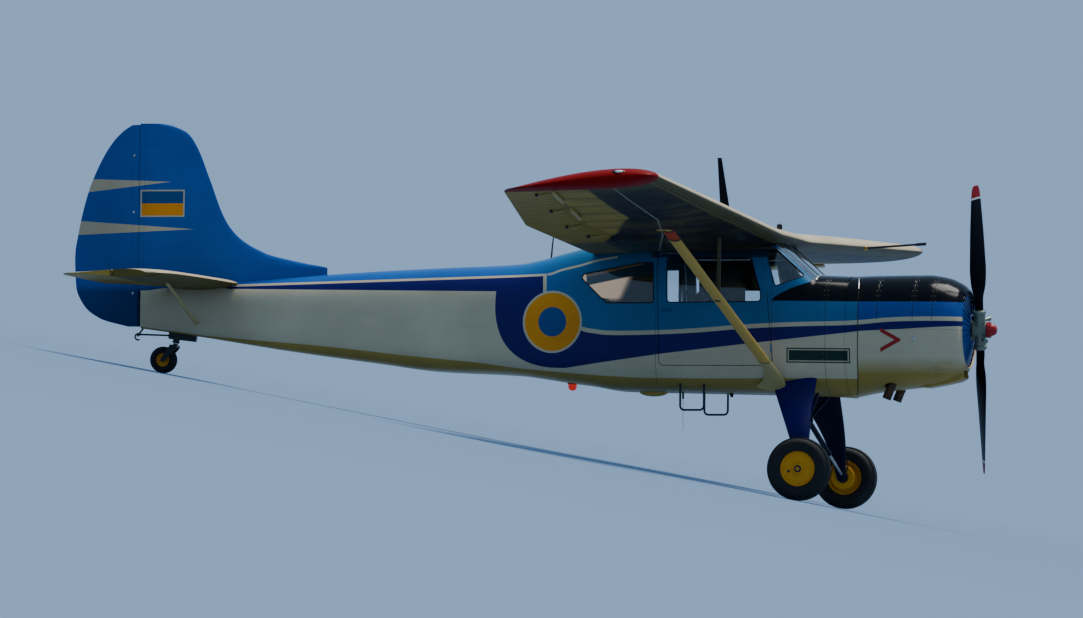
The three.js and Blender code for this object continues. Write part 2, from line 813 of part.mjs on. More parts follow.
// The flats, not the corners, lie on the tyre's true radius.
const flatFactor = (sides) => 1 / Math.cos(Math.PI / sides);
const widened = (profile, sides) => profile.map(([y, r]) => [y, r * flatFactor(sides)]);
const atWheel = [MAIN_WHEEL.x, MAIN_WHEEL.y, wheelZ];
const mainTyre = turnedY(
  widened(tyreProfile(MAIN_WHEEL.radius, MAIN_WHEEL.width, MAIN_WHEEL.hub), TYRE_SIDES),
  TYRE_SIDES,
).translate(atWheel);
const mainHub = turnedY(
  hubProfile(MAIN_WHEEL.hub, MAIN_WHEEL.hubWidth, WHEEL_BORE),
  TYRE_SIDES,
).translate(atWheel);

// Tail wheel, drawn upright about its own contact with the ground, the swivel axis vertical
const TAIL_TYRE_SIDES = 20;
const TAIL_AXLE = 11;
const tailTyre = turnedY(
  widened(
    tyreProfile(TAIL_WHEEL.radius, TAIL_WHEEL.width, TAIL_WHEEL.hub),
    TAIL_TYRE_SIDES,
  ),
  TAIL_TYRE_SIDES,
).rotate([0, -PARK_PITCH / DEG, 0]);
const tailHub = turnedY(
  [
    [-TAIL_WHEEL.hubWidth / 2, TAIL_AXLE + 1.5],
    [-TAIL_WHEEL.hubWidth / 2, TAIL_WHEEL.hub],
    [TAIL_WHEEL.hubWidth / 2, TAIL_WHEEL.hub],
    [TAIL_WHEEL.hubWidth / 2, TAIL_AXLE + 1.5],
    [-TAIL_WHEEL.hubWidth / 2, TAIL_AXLE + 1.5],
  ],
  TAIL_TYRE_SIDES,
).rotate([0, -PARK_PITCH / DEG, 0]);
const FORK = { top: 175, crown: 148, halfWidth: 66, plate: 9 };
const fork = joined(
  rod([0, -FORK.halfWidth - 6, 0], [0, FORK.halfWidth + 6, 0], TAIL_AXLE, 12),
  ...[-1, 1].map((side) =>
    sideSlab(
      [
        [-18, -16],
        [20, -16],
        [SWIVEL_AHEAD + 30, FORK.crown - 10],
        [SWIVEL_AHEAD + 30, FORK.crown + 12],
        [SWIVEL_AHEAD - 34, FORK.crown + 12],
      ],
      side * FORK.halfWidth - FORK.plate / 2,
      side * FORK.halfWidth + FORK.plate / 2,
    ),
  ),
  box(
    SWIVEL_AHEAD - 30,
    SWIVEL_AHEAD + 28,
    -FORK.halfWidth,
    FORK.halfWidth,
    FORK.crown - 6,
    FORK.crown + 11,
  ),
  rod([SWIVEL_AHEAD, 0, FORK.crown], [SWIVEL_AHEAD, 0, FORK.top], 24, 16),
);

// The bracket holds the swivel under the tail cone, with a small towing frame behind it.
const swivelTop = {
  x: TAIL_WHEEL.x + SWIVEL_AHEAD * Math.cos(PARK_PITCH) + (FORK.top + 2) * Math.sin(PARK_PITCH),
  z: TAIL_WHEEL.z - SWIVEL_AHEAD * Math.sin(PARK_PITCH) + (FORK.top + 2) * Math.cos(PARK_PITCH),
};
const tailBracket = joined(
  rod(
    [swivelTop.x, 0, swivelTop.z],
    [swivelTop.x + 60 * Math.sin(PARK_PITCH), 0, swivelTop.z + 60 * Math.cos(PARK_PITCH)],
    32,
    16,
  ),
  sideSlab(
    [
      [swivelTop.x - 70, swivelTop.z + 44],
      [swivelTop.x + 200, swivelTop.z + 12],
      [swivelTop.x + 210, swivelTop.z + 90],
      [swivelTop.x - 60, swivelTop.z + 130],
    ],
    -26,
    26,
  ),
  rod([swivelTop.x - 40, 0, swivelTop.z + 75], [-6668, 0, 1598], 9, 8),
  rod([-6668, 0, 1592], [-6596, 0, 1680], 9, 8),
).subtract(tailConeGrown);

// Entry steps under the doors
const STEP = { front: -1003, rear: -1231, y: 545, z: 872, top: 1150, radius: 10 };
const entryStep = bentRod(
  [
    [STEP.front, STEP.y, STEP.top],
    [STEP.front, STEP.y, STEP.z + 52],
    [STEP.front - 13, STEP.y, STEP.z + 13],
    [STEP.front - 52, STEP.y, STEP.z],
    [STEP.rear + 52, STEP.y, STEP.z],
    [STEP.rear + 13, STEP.y, STEP.z + 13],
    [STEP.rear, STEP.y, STEP.z + 52],
    [STEP.rear, STEP.y, STEP.top],
  ],
  STEP.radius,
  22,
  6,
).subtract(cabinGrown);

// Cabin furniture
const SEAT = { x: -860, y: 300, width: 440, cushionZ: 1480 };
const seatAt = (y) =>
  joined(
    box(SEAT.x - 240, SEAT.x + 240, y - SEAT.width / 2, y + SEAT.width / 2, 1375, SEAT.cushionZ),
    sideSlab(
      [
        [SEAT.x - 165, SEAT.cushionZ - 40],
        [SEAT.x - 245, SEAT.cushionZ - 90],
        [SEAT.x - 345, 2010],
        [SEAT.x - 265, 2030],
      ],
      y - SEAT.width / 2,
      y + SEAT.width / 2,
    ),
    box(SEAT.x - 170, SEAT.x + 150, y - 130, y + 130, FLOOR_Z + GAP, 1380),
  );
const frontSeats = joined(
  seatAt(SEAT.y),
  seatAt(-SEAT.y),
  box(SEAT.x - 60, SEAT.x + 60, -SEAT.y, SEAT.y, FLOOR_Z + GAP, 1250),
);
const rearBench = joined(
  box(-2130, -1660, -530, 530, 1370, 1490),
  sideSlab(
    [
      [-2080, 1450],
      [-2170, 1400],
      [-2290, 1990],
      [-2200, 2010],
    ],
    -520,
    520,
  ),
  box(-2040, -1720, -420, 420, FLOOR_Z + GAP, 1380),
);
const PANEL = { x: -60, thick: 40, bottom: 1640, top: 2075 };
const controlWheel = (y) =>
  joined(
    rod([PANEL.x + 5, y, 1800], [PANEL.x - 210, y, 1815], 13, 12),
    solidOf(
      new THREE.TorusGeometry(125, 13, 6, 16)
        .rotateY(Math.PI / 2)
        .translate(PANEL.x - 205, y, 1815),
    ),
    box(PANEL.x - 215, PANEL.x - 197, y - 120, y + 120, 1804, 1826),
  );
const instrumentPanel = joined(
  box(PANEL.x, PANEL.x + PANEL.thick, -FAR, FAR, PANEL.bottom, PANEL.top).intersect(
    cabinInside,
  ),
  controlWheel(SEAT.y),
  controlWheel(-SEAT.y),
);

// The pitot boom stands ahead of the left slat, in line with the wing's chord.
const PITOT = {
  y: 3300,
  tip: [357, 2649],
  mount: [-222, 2609],
  root: [-292, 2605],
  radius: 13,
  mountRadius: 21,
};
const atPitot = ([x, z]) => [x, PITOT.y, z];
const pitotBoom = joined(
  rod(atPitot(PITOT.tip), atPitot(PITOT.root), PITOT.radius, 10),
  rod(atPitot(PITOT.mount), atPitot(PITOT.root), PITOT.mountRadius, 10),
)
  .subtract(slat.translate([GAP, 0, 0]))
  .subtract(slat);

// Propeller: blade sections across its length
const SECTION_HALF = [
  [0.5, 0.0],
  [0.36, 0.42],
  [0.12, 0.62],
  [-0.18, 0.56],
  [-0.42, 0.26],
  [-0.5, 0.0],
];
const LENS = [
  ...SECTION_HALF,
  ...SECTION_HALF.slice(1, -1)
    .reverse()
    .map(([a, b]) => [a, -b * 0.55]),
];
// radius, chord, thickness, pitch angle
const BLADE_ROWS = [
  [PROP.socket + GAP, 84, 84, 50],
  [300, 92, 72, 48],
  [430, 170, 42, 42],
  [620, 214, 30, 34],
  [880, 212, 22, 27],
  [1130, 190, 16, 22],
  [1300, 160, 11, 19],
  [1362, 112, 8, 18],
  [PROP.radius, 60, 6, 18],
];
const bladeUp = loft(
  BLADE_ROWS.map(([radius, chord, thick, pitch]) =>
    LENS.map(([a, b]) => {
      const [c, s] = [Math.cos(pitch * DEG), Math.sin(pitch * DEG)];
      return [a * chord * s - b * thick * c, a * chord * c + b * thick * s, radius];
    }),
  ),
);
const propPlace = (solid) =>
  solid.rotate([PROP.lean / DEG, 0, 0]).translate([PROP.x, 0, THRUST_Z]);
const bladeA = propPlace(bladeUp);
const bladeB = propPlace(bladeUp.rotate([180, 0, 0]));
const hubTurned = turnedX(
  [
    [1462, 0],
    [1462, 78],
    [1478, 96],
    [1490, 96],
    [1500, 62],
    [1600, 62],
    [1606, 74],
    [1640, 70],
    [1672, 52],
    [1694, 26],
    [1700, 0],
  ],
  THRUST_Z,
  20,
);
const propHub = joined(
  hubTurned,
  propPlace(
    joined(
      rod([0, 0, -PROP.socket], [0, 0, PROP.socket], 56, 12),
      rod([0, 0, -PROP.socket + 12], [0, 0, -PROP.socket + 40], 62, 12),
      rod([0, 0, PROP.socket - 40], [0, 0, PROP.socket - 12], 62, 12),
    ),
  ),
);

// The assembly
const level = new THREE.Group();
const mirrored = new THREE.Group();
mirrored.scale.y = -1;
level.add(mirrored);

function piece(name, solid, paint, group = level) {
  const mesh = new THREE.Mesh(geometryOf(solid), paints[paint]);
  mesh.name = name;
  group.add(mesh);
}
function pair(name, solid, paint) {
  piece(name + "_left", solid, paint);
  piece(name + "_right", solid, paint, mirrored);
}

piece("tail_cone", tailCone, "blue");
pair("cabin_side", cabinSide, "blue");
piece("cabin_floor", cabinFloor, "cream");
piece("cabin_roof", cabinRoof, "cream");
piece("nose_deck", noseDeck, "black");
piece("firewall", firewall, "steel");
piece("cowling_upper", cowlingUpper, "black");
piece("cowling_lower", cowlingLower, "cream");
piece("shutter_ring", shutterRing, "blue");
piece("engine", engine, "steel");
piece("exhaust_stacks", exhaust, "steel");
pair("wing", wing, "cream");
pair("slat", slat, "cream");
pair("flap", flap, "cream");
pair("aileron", aileron, "cream");
pair("wing_strut", strutOverLeg, "cream");
piece("fin", fin, "blue");
piece("rudder", rudder, "blue");
pair("stabilizer", stabilizer, "cream");
pair("elevator", elevator, "cream");
pair("stabilizer_strut", tailStrut, "cream");
pair("gear_leg", gearLeg, "navy");
piece("gear_truss", gearTruss, "steel");
pair("wheel", mainHub, "yellow");
pair("tyre", mainTyre, "rubber");
piece("tail_wheel_bracket", tailBracket, "black");
pair("entry_step", entryStep, "black");
pair("door", door, "blue");
piece("windshield", windscreen, "glass");
pair("front_window", paneIn(FRONT_WINDOW), "glass");
pair("door_window", paneIn(DOOR_WINDOW), "glass");
pair("rear_window", paneIn(REAR_WINDOW), "glass");
piece("front_seats", frontSeats, "leather");
piece("rear_bench", rearBench, "leather");
piece("instrument_panel", instrumentPanel, "black");
piece("pitot_boom", pitotBoom, "steel");
piece("propeller_hub", propHub, "green");
piece("propeller_blade_a", bladeA, "black");
piece("propeller_blade_b", bladeB, "black");

const tailWheel = new THREE.Group();
tailWheel.position.set(TAIL_WHEEL.x, 0, TAIL_WHEEL.z);
tailWheel.rotation.y = PARK_PITCH;
level.add(tailWheel);
piece("tail_wheel_fork", fork, "black", tailWheel);
piece("tail_wheel", tailHub, "yellow", tailWheel);
piece("tail_tyre", tailTyre, "rubber", tailWheel);

// The origin is on the ground, under the middle of the parked aeroplane's outline.
const aircraft = new THREE.Group();
aircraft.add(level);
level.rotation.y = -PARK_PITCH;
const outline = new THREE.Box3().setFromObject(aircraft, true);
const middle = outline.getCenter(new THREE.Vector3());
level.position.set(-middle.x, -middle.y, -outline.min.z);

export default aircraft;
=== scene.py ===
"""The looks of a high-wing light aircraft, parked on its gear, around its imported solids.

Everything is drawn in metres in the aeroplane's own level frame: X forward from a point just
behind the main axle, Y to the left, Z up from the main tyres' underside. placed() then pitches
it into the row frame.
"""

import json
import math

import bmesh
import bpy
import numpy as np
from mathutils import Matrix, Vector


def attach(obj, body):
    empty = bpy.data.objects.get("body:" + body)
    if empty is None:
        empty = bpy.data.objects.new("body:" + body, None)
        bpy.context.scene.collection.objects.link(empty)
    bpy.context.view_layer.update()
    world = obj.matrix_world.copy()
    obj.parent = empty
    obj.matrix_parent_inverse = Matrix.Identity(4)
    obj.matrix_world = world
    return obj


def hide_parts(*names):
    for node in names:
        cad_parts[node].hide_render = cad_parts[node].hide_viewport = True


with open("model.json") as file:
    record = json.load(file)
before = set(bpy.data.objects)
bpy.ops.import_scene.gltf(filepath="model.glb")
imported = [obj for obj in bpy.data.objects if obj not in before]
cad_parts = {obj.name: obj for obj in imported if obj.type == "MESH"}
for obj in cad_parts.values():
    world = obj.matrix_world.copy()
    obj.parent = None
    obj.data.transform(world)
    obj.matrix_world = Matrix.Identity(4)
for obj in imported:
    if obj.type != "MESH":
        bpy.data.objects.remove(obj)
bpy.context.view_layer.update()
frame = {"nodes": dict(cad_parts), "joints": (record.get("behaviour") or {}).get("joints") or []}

# The level frame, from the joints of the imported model
JOINTS = {j["name"]: j for j in frame["joints"]}
PITCH = math.asin(JOINTS["propeller_spin"]["axis"][2])
COS, SIN = math.cos(PITCH), math.sin(PITCH)
AXLE = JOINTS["left_wheel_spin"]["pos_m"]
WHEEL_R = AXLE[2]
WHEEL_X = 0.033
ORIGIN = (AXLE[0] - COS * WHEEL_X + SIN * WHEEL_R, 0.0, AXLE[2] - SIN * WHEEL_X - COS * WHEEL_R)
TO_ROW = np.array([[COS, 0, -SIN], [0, 1, 0], [SIN, 0, COS]])


def placed(points):
    """Level-frame points in the row frame."""
    return np.asarray(points, float) @ TO_ROW.T + np.array(ORIGIN)


def levelled(point):
    """A row-frame point in the level frame."""
    return (np.asarray(point, float) - np.array(ORIGIN)) @ TO_ROW


# Sizes shared with the solids
SKIN = 0.030
THRUST_Z = 1.653
PROP_X = 1.530
PROP_LEAN = math.radians(12)
ROOT_Y = 0.660
WING_LEAD = (-0.240, 2.514)
CHORD, TIP_CHORD = 1.850, 1.400
KINK_Y, END_Y, TIP_Y = 3.400, 6.100, 6.300
WHEEL_Y = 1.100
DOOR_GAP = 0.006

# x, half width, bottom, top, widest height, power below, power above
BODY_ROWS = [
    (0.335, 0.540, 1.008, 2.152, 1.640, 2.9, 2.9),
    (0.020, 0.600, 1.028, 2.160, 1.640, 3.6, 3.6),
    (-0.330, 0.645, 1.038, 2.472, 1.700, 4.6, 5.0),
    (-1.200, 0.660, 1.058, 2.475, 1.700, 5.0, 5.0),
    (-1.900, 0.650, 1.072, 2.455, 1.700, 4.6, 4.6),
    (-2.215, 0.632, 1.120, 2.418, 1.710, 4.2, 3.8),
    (-2.400, 0.615, 1.143, 2.378, 1.715, 4.1, 3.3),
    (-2.640, 0.580, 1.180, 2.318, 1.725, 4.1, 2.8),
    (-2.900, 0.548, 1.215, 2.272, 1.735, 4.2, 2.5),
    (-3.720, 0.445, 1.256, 2.236, 1.745, 4.3, 2.3),
    (-4.280, 0.375, 1.328, 2.208, 1.755, 4.3, 2.2),
    (-5.180, 0.262, 1.449, 2.150, 1.790, 4.1, 2.1),
    (-6.070, 0.152, 1.588, 2.092, 1.840, 3.6, 2.0),
    (-6.625, 0.052, 1.664, 2.057, 1.860, 3.2, 2.4),
]
BODY_CORNERS = (0.020, -0.330)  # where the top turns sharply, at both ends of the windscreen
COWL_ROWS = [
    (0.336, 0.535, 1.014, 2.152, 1.640, 2.7, 2.6),
    (0.600, 0.542, 1.064, 2.162, 1.635, 2.5, 2.4),
    (1.060, 0.538, 1.118, 2.168, 1.635, 2.3, 2.2),
    (1.240, 0.515, 1.152, 2.140, 1.637, 2.15, 2.1),
    (1.350, 0.468, 1.198, 2.094, 1.645, 2.0, 2.0),
    (1.405, 0.418, 1.246, 2.056, 1.653, 2.0, 2.0),
    (1.420, 0.385, 1.276, 2.038, 1.653, 2.0, 2.0),
]
CABIN_REAR_X = -2.400
STERN_X = -6.625

DOOR = [(-1.415, 1.290), (-0.328, 1.290), (-0.422, 2.342), (-1.440, 2.342)]
DOOR_WINDOW = [(-1.343, 1.880), (-0.446, 1.890), (-0.450, 1.985), (-0.546, 2.304), (-1.352, 2.304)]
FRONT_WINDOW = [(-0.310, 2.033), (-0.048, 2.138), (-0.322, 2.388), (-0.412, 2.386)]
REAR_WINDOW = [
    (-1.473, 1.876), (-1.484, 2.258), (-1.615, 2.256), (-2.157, 2.151), (-2.180, 2.113),
    (-1.933, 1.876),
]
SCREEN_FRONT, SCREEN_REAR = 0.045, -0.350
WINDSCREEN = [
    (SCREEN_FRONT, 2.090), (SCREEN_FRONT, 2.700), (SCREEN_REAR, 2.700), (SCREEN_REAR, 2.448),
]


# Curves and outlines
def smooth_through(xs, ys, corners=()):
    """A cubic through the points that never overshoots them, with a corner wherever one is named."""
    order = np.argsort(xs)
    xs, ys = np.array(xs, float)[order], np.array(ys, float)[order]
    cuts = [0, *sorted(int(np.argmin(abs(xs - c))) for c in corners), len(xs) - 1]
    slopes = np.zeros((len(xs), 2))
    for a, b in zip(cuts, cuts[1:]):
        step = np.diff(xs[a : b + 1])
        rise = np.diff(ys[a : b + 1]) / step
        slope = np.zeros(b - a + 1)
        slope[0], slope[-1] = rise[0], rise[-1]
        for i in range(1, b - a):
            if rise[i - 1] * rise[i] > 0:
                w1, w2 = 2 * step[i] + step[i - 1], step[i] + 2 * step[i - 1]
                slope[i] = (w1 + w2) / (w1 / rise[i - 1] + w2 / rise[i])
        slopes[a:b, 0] = slope[:-1]
        slopes[a + 1 : b + 1, 1] = slope[1:]

    def at(x):
        x = np.clip(np.asarray(x, float), xs[0], xs[-1])
        i = np.clip(np.searchsorted(xs, x) - 1, 0, len(xs) - 2)
        h = xs[i + 1] - xs[i]
        t = (x - xs[i]) / h
        m0, m1 = slopes[i, 0] * h, slopes[i + 1, 1] * h
        return (
            (2 * t**3 - 3 * t**2 + 1) * ys[i]
            + (t**3 - 2 * t**2 + t) * m0
            + (3 * t**2 - 2 * t**3) * ys[i + 1]
            + (t**3 - t**2) * m1
        )

    return at


class Hull:
    """A tube of rounded sections across X, from a table of rows."""

    TOP, ABOVE = 3, 6

    def __init__(self, rows, corners=()):
        table = np.array(rows)
        self.columns = [
            smooth_through(table[:, 0], table[:, k], corners if k in (self.TOP, self.ABOVE) else ())
            for k in range(1, table.shape[1])
        ]

    def ring(self, x, inset, count):
        """Evenly spaced [x, y, z] points, from the belly's middle up the left side and round."""
        half, bottom, top, widest, below, above = (column(x) for column in self.columns)
        turn = np.linspace(-math.pi / 2, math.pi / 2, 721)
        c, s = np.clip(np.cos(turn), 0, 1), np.sin(turn)
        power = 2 / np.where(s > 0, above, below)
        height = np.where(s > 0, top - inset - widest, widest - bottom - inset)
        y = (half - inset) * c**power
        z = widest + height * np.sign(s) * abs(s) ** power
        run = np.concatenate([[0], np.cumsum(np.hypot(np.diff(y), np.diff(z)))])
        even = np.linspace(0, run[-1], count // 2 + 1)
        y, z = np.interp(even, run, y), np.interp(even, run, z)
        y[0] = y[-1] = 0
        y = np.concatenate([y, -y[-2:0:-1]])
        z = np.concatenate([z, z[-2:0:-1]])
        return np.column_stack([np.full(len(y), x), y, z])

    def half_width(self, x, z, inset=0.0):
        """How far out the skin is at that place."""
        half, bottom, top, widest, below, above = (column(x) for column in self.columns)
        up = z > widest
        height = (top - widest if up else widest - bottom) - inset
        share = min(1.0, abs(z - widest) / height)
        return (half - inset) * (1 - share ** (above if up else below)) ** (1 / (above if up else below))

    def low(self, x):
        return float(self.columns[1](x))

    def high(self, x):
        return float(self.columns[2](x))


BODY = Hull(BODY_ROWS, BODY_CORNERS)
COWL = Hull(COWL_ROWS)


def rounded(outline, radius, steps=5):
    """A convex outline with an arc at each corner."""
    points = [Vector(p) for p in outline]
    made = []
    for i, p in enumerate(points):
        a, b = (points[i - 1] - p), (points[(i + 1) % len(points)] - p)
        half = a.angle(b) / 2
        reach = min(radius / math.tan(half), a.length * 0.45, b.length * 0.45)
        start, end = p + a.normalized() * reach, p + b.normalized() * reach
        for k in range(steps + 1):
            t = k / steps
            made.append(tuple(start * (1 - t) ** 2 + p * 2 * t * (1 - t) + end * t**2))
    return made


def grown(outline, by):
    """A convex outline with each edge moved out."""
    points = [Vector(p) for p in outline]
    area = sum(a.x * b.y - b.x * a.y for a, b in zip(points, points[1:] + points[:1]))
    turn = math.copysign(1, area)
    edges = []
    for a, b in zip(points, points[1:] + points[:1]):
        normal = Vector(((b - a).y, -(b - a).x)).normalized() * turn
        edges.append((normal, normal.dot(a) + by))
    made = []
    for (n0, d0), (n1, d1) in zip(edges[-1:] + edges[:-1], edges):
        det = n0.x * n1.y - n0.y * n1.x
        made.append(((d0 * n1.y - d1 * n0.y) / det, (n0.x * d1 - n1.x * d0) / det))
    return made


# Meshes: each builder returns (points, faces) in the level frame
def loft(rings, caps=(True, True)):
    """Quads through rings of points that all have the same count."""
    rings = np.asarray(rings, float)
    m, n = rings.shape[:2]
    faces = []
    for r in range(m - 1):
        for i in range(n):
            j = (i + 1) % n
            faces.append((r * n + i, r * n + j, (r + 1) * n + j, (r + 1) * n + i))
    if caps[0]:
        faces.append(tuple(range(n - 1, -1, -1)))
    if caps[1]:
        faces.append(tuple((m - 1) * n + i for i in range(n)))
    return rings.reshape(-1, 3), faces


def shell(outer, inner):
    """A tube with a wall, open at both ends, from outer and inner rings."""
    outer, inner = np.asarray(outer, float), np.asarray(inner, float)
    m, n = outer.shape[:2]
    points, faces = loft(outer, (False, False))
    inside = [tuple(v + m * n for v in face[::-1]) for face in faces]
    ends = []
    for i in range(n):
        j = (i + 1) % n
        ends.append((i, m * n + i, m * n + j, j))
        last = (m - 1) * n
        ends.append((last + i, last + j, m * n + last + j, m * n + last + i))
    return np.concatenate([points, inner.reshape(-1, 3)]), faces + inside + ends


def merged(*parts):
    """Several (points, faces) as one."""
    points, faces, count = [], [], 0
    for p, f in parts:
        points.append(np.asarray(p, float))
        faces += [tuple(v + count for v in face) for face in f]
        count += len(p)
    return np.concatenate(points), faces


def mirrored(part):
    """The same part on the other side."""
    points, faces = part
    return np.asarray(points) * (1, -1, 1), [face[::-1] for face in faces]


def prism(outline, y0, y1):
    """A side outline of (x, z) points, pushed through from y0 to y1."""
    return loft([[(x, y, z) for x, z in outline] for y in (y0, y1)])


def slab(x0, x1, y0, y1, z0, z1, edge=0.0):
    """A box with chamfered upright edges."""
    c = min(edge, (x1 - x0) / 3, (y1 - y0) / 3)
    plan = [(x0 + c, y0), (x1 - c, y0), (x1, y0 + c), (x1, y1 - c)]
    plan += [(x1 - c, y1), (x0 + c, y1), (x0, y1 - c), (x0, y0 + c)]
    if c == 0:
        plan = [(x0, y0), (x1, y0), (x1, y1), (x0, y1)]
    return loft([[(x, y, z) for x, y in plan] for z in (z0, z1)])


def tube(path, radius, sides=12, end_radius=None):
    """A round bar along a path of points. The radius may run to another at the far end."""
    path = np.asarray(path, float)
    radii = np.linspace(radius, radius if end_radius is None else end_radius, len(path))
    tangent = np.gradient(path, axis=0)
    tangent /= np.linalg.norm(tangent, axis=1)[:, None]
    side = np.cross(tangent[0], (0, 0, 1) if abs(tangent[0][2]) < 0.9 else (1, 0, 0))
    rings = []
    for p, t, r in zip(path, tangent, radii):
        side = side - t * (side @ t)
        side /= np.linalg.norm(side)
        rings.append(oval(p, r * side, r * np.cross(t, side), sides))
    return loft(rings)


def bar(a, b, radius, sides=12, end_radius=None):
    return tube([a, b], radius, sides, end_radius)


def bent(points, steps=8):
    """A smooth path through points, with rounded corners."""
    points = [Vector(p) for p in points]
    made = [points[0]]
    for a, p, b in zip(points, points[1:], points[2:]):
        reach = min((a - p).length, (b - p).length) * 0.45
        start, end = p + (a - p).normalized() * reach, p + (b - p).normalized() * reach
        made += [start * (1 - t) ** 2 + p * 2 * t * (1 - t) + end * t**2 for t in np.linspace(0, 1, steps)]
    return [tuple(p) for p in made + [points[-1]]]


def lathe(profile, centre, axis="x", sides=48):
    """A body of revolution from (along, radius) points. A radius of 0 closes it on the axis."""
    a = turns(sides)
    rings = []
    for along, radius in profile:
        r = max(radius, 1e-5)
        wave = (np.cos(a) * r, np.sin(a) * r)
        flat = np.full(sides, along)
        order = {"x": (flat, *wave), "y": (wave[1], flat, wave[0]), "z": (*wave, flat)}[axis]
        rings.append(np.column_stack(order) + np.asarray(centre))
    if profile[0] == profile[-1]:
        points, faces = loft(rings[:-1], (False, False))
        m, n = len(rings) - 1, sides
        faces += [((m - 1) * n + i, (m - 1) * n + (i + 1) % n, (i + 1) % n, i) for i in range(n)]
        return points, faces
    return loft(rings)


def turns(count):
    """That many angles, evenly round a circle."""
    return np.arange(count) / count * 2 * math.pi


def around(count, radius, phase=0.0):
    """(y, z) places evenly round a circle across X."""
    return [(radius * math.cos(a), radius * math.sin(a)) for a in turns(count) + phase]


def oval(centre, wide, high, sides=24):
    """A ring about a centre, from its two half axes."""
    a = turns(sides)
    return np.asarray(centre) + np.outer(np.cos(a), wide) + np.outer(np.sin(a), high)


def arc(centre, radius, start, end, steps):
    """(x, y) points of an arc, in degrees."""
    angles = np.radians(np.linspace(start, end, steps + 1))
    return [(centre[0] + radius * math.cos(t), centre[1] + radius * math.sin(t)) for t in angles]


def ball(centre, size, rings=8, sides=16):
    """An ellipsoid with its half sizes."""
    made = []
    for t in np.linspace(-math.pi / 2, math.pi / 2, rings + 1):
        r = max(math.cos(t), 1e-4)
        made.append(oval((0, 0, math.sin(t)), (r, 0, 0), (0, r, 0), sides) * size + centre)
    return loft(made)


def turned(part, matrix):
    """A part moved by a 4x4 matrix."""
    m = np.array(matrix)
    return np.asarray(part[0]) @ m[:3, :3].T + m[:3, 3], part[1]


# Objects
def mesh_object(name, part):
    """A bare object with the part's mesh in the row frame, its faces turned out."""
    points, faces = part
    mesh = bpy.data.meshes.new(name)
    mesh.from_pydata(placed(points).tolist(), [], faces)
    work = bmesh.new()
    work.from_mesh(mesh)
    bmesh.ops.remove_doubles(work, verts=work.verts, dist=1e-5)
    bmesh.ops.dissolve_degenerate(work, edges=work.edges, dist=1e-6)
    bmesh.ops.recalc_face_normals(work, faces=work.faces)
    work.to_mesh(mesh)
    work.free()
    made = bpy.data.objects.new(name, mesh)
    bpy.context.scene.collection.objects.link(made)
    return made


def cut(target, *operations):
    """Booleans on an object's mesh, each as (operation, part)."""
    helpers = []
    for k, (kind, part) in enumerate(operations):
        helper = mesh_object(f"{target.name}_cut{k}", part)
        helpers.append(helper)
        modifier = target.modifiers.new(f"cut{k}", "BOOLEAN")
        modifier.operation = kind
        modifier.solver = "EXACT"
        modifier.object = helper
    baked(target)
    for helper in helpers:
        bpy.data.objects.remove(helper)
    return target


def baked(target):
    """Applies the object's modifiers to its mesh."""
    bpy.context.view_layer.update()
    evaluated = target.evaluated_get(bpy.context.evaluated_depsgraph_get())
    mesh = bpy.data.meshes.new_from_object(evaluated)
    target.modifiers.clear()
    target.data = mesh
    return target


def finished(target, body, material, replaces=(), angle=32):
    """Shades an object that is in place, gives it its material, sets it to ride its body and hides the solids
    it stands for.
    """
    target.data.shade_smooth()
    target.data.set_sharp_from_angle(angle=math.radians(angle))
    target.data.materials.clear()
    target.data.materials.append(material)
    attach(target, body)
    if replaces:
        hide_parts(*replaces)
    return target


def piece(name, part, body, material, replaces=(), angle=32):
    return finished(mesh_object(name, part), body, material, replaces, angle)


SIDES = {"left": 1, "right": -1}


def pair(name, part, material, body=None, replaces=None, angle=32):
    """A piece on the left and its mirror image on the right. body may hold {} for the side."""
    made = []
    for side, sign in SIDES.items():
        whole = part if sign > 0 else mirrored(part)
        stands_for = [n.format(side) for n in (replaces or [])]
        rides = (body or "airframe").format(side)
        made.append(piece(f"{name}_{side}", whole, rides, material, stands_for, angle))
    return made


def corners_of(obj):
    """The mesh's points, one a row."""
    co = np.zeros(len(obj.data.vertices) * 3)
    obj.data.vertices.foreach_get("co", co)
    return co.reshape(-1, 3)


def part_of(obj):
    """(points, faces) of an object's mesh, back in the level frame."""
    return levelled(corners_of(obj)), [tuple(p.vertices) for p in obj.data.polygons]


def carved(part, *operations, bevel=None):
    """A part after booleans, or with its edges rounded by a (width, segments) bevel."""
    work = mesh_object("work", part)
    if bevel:
        modifier = work.modifiers.new("round", "BEVEL")
        modifier.width, modifier.segments = bevel
        baked(work)
    if operations:
        cut(work, *operations)
    made = part_of(work)
    bpy.data.objects.remove(work)
    return made


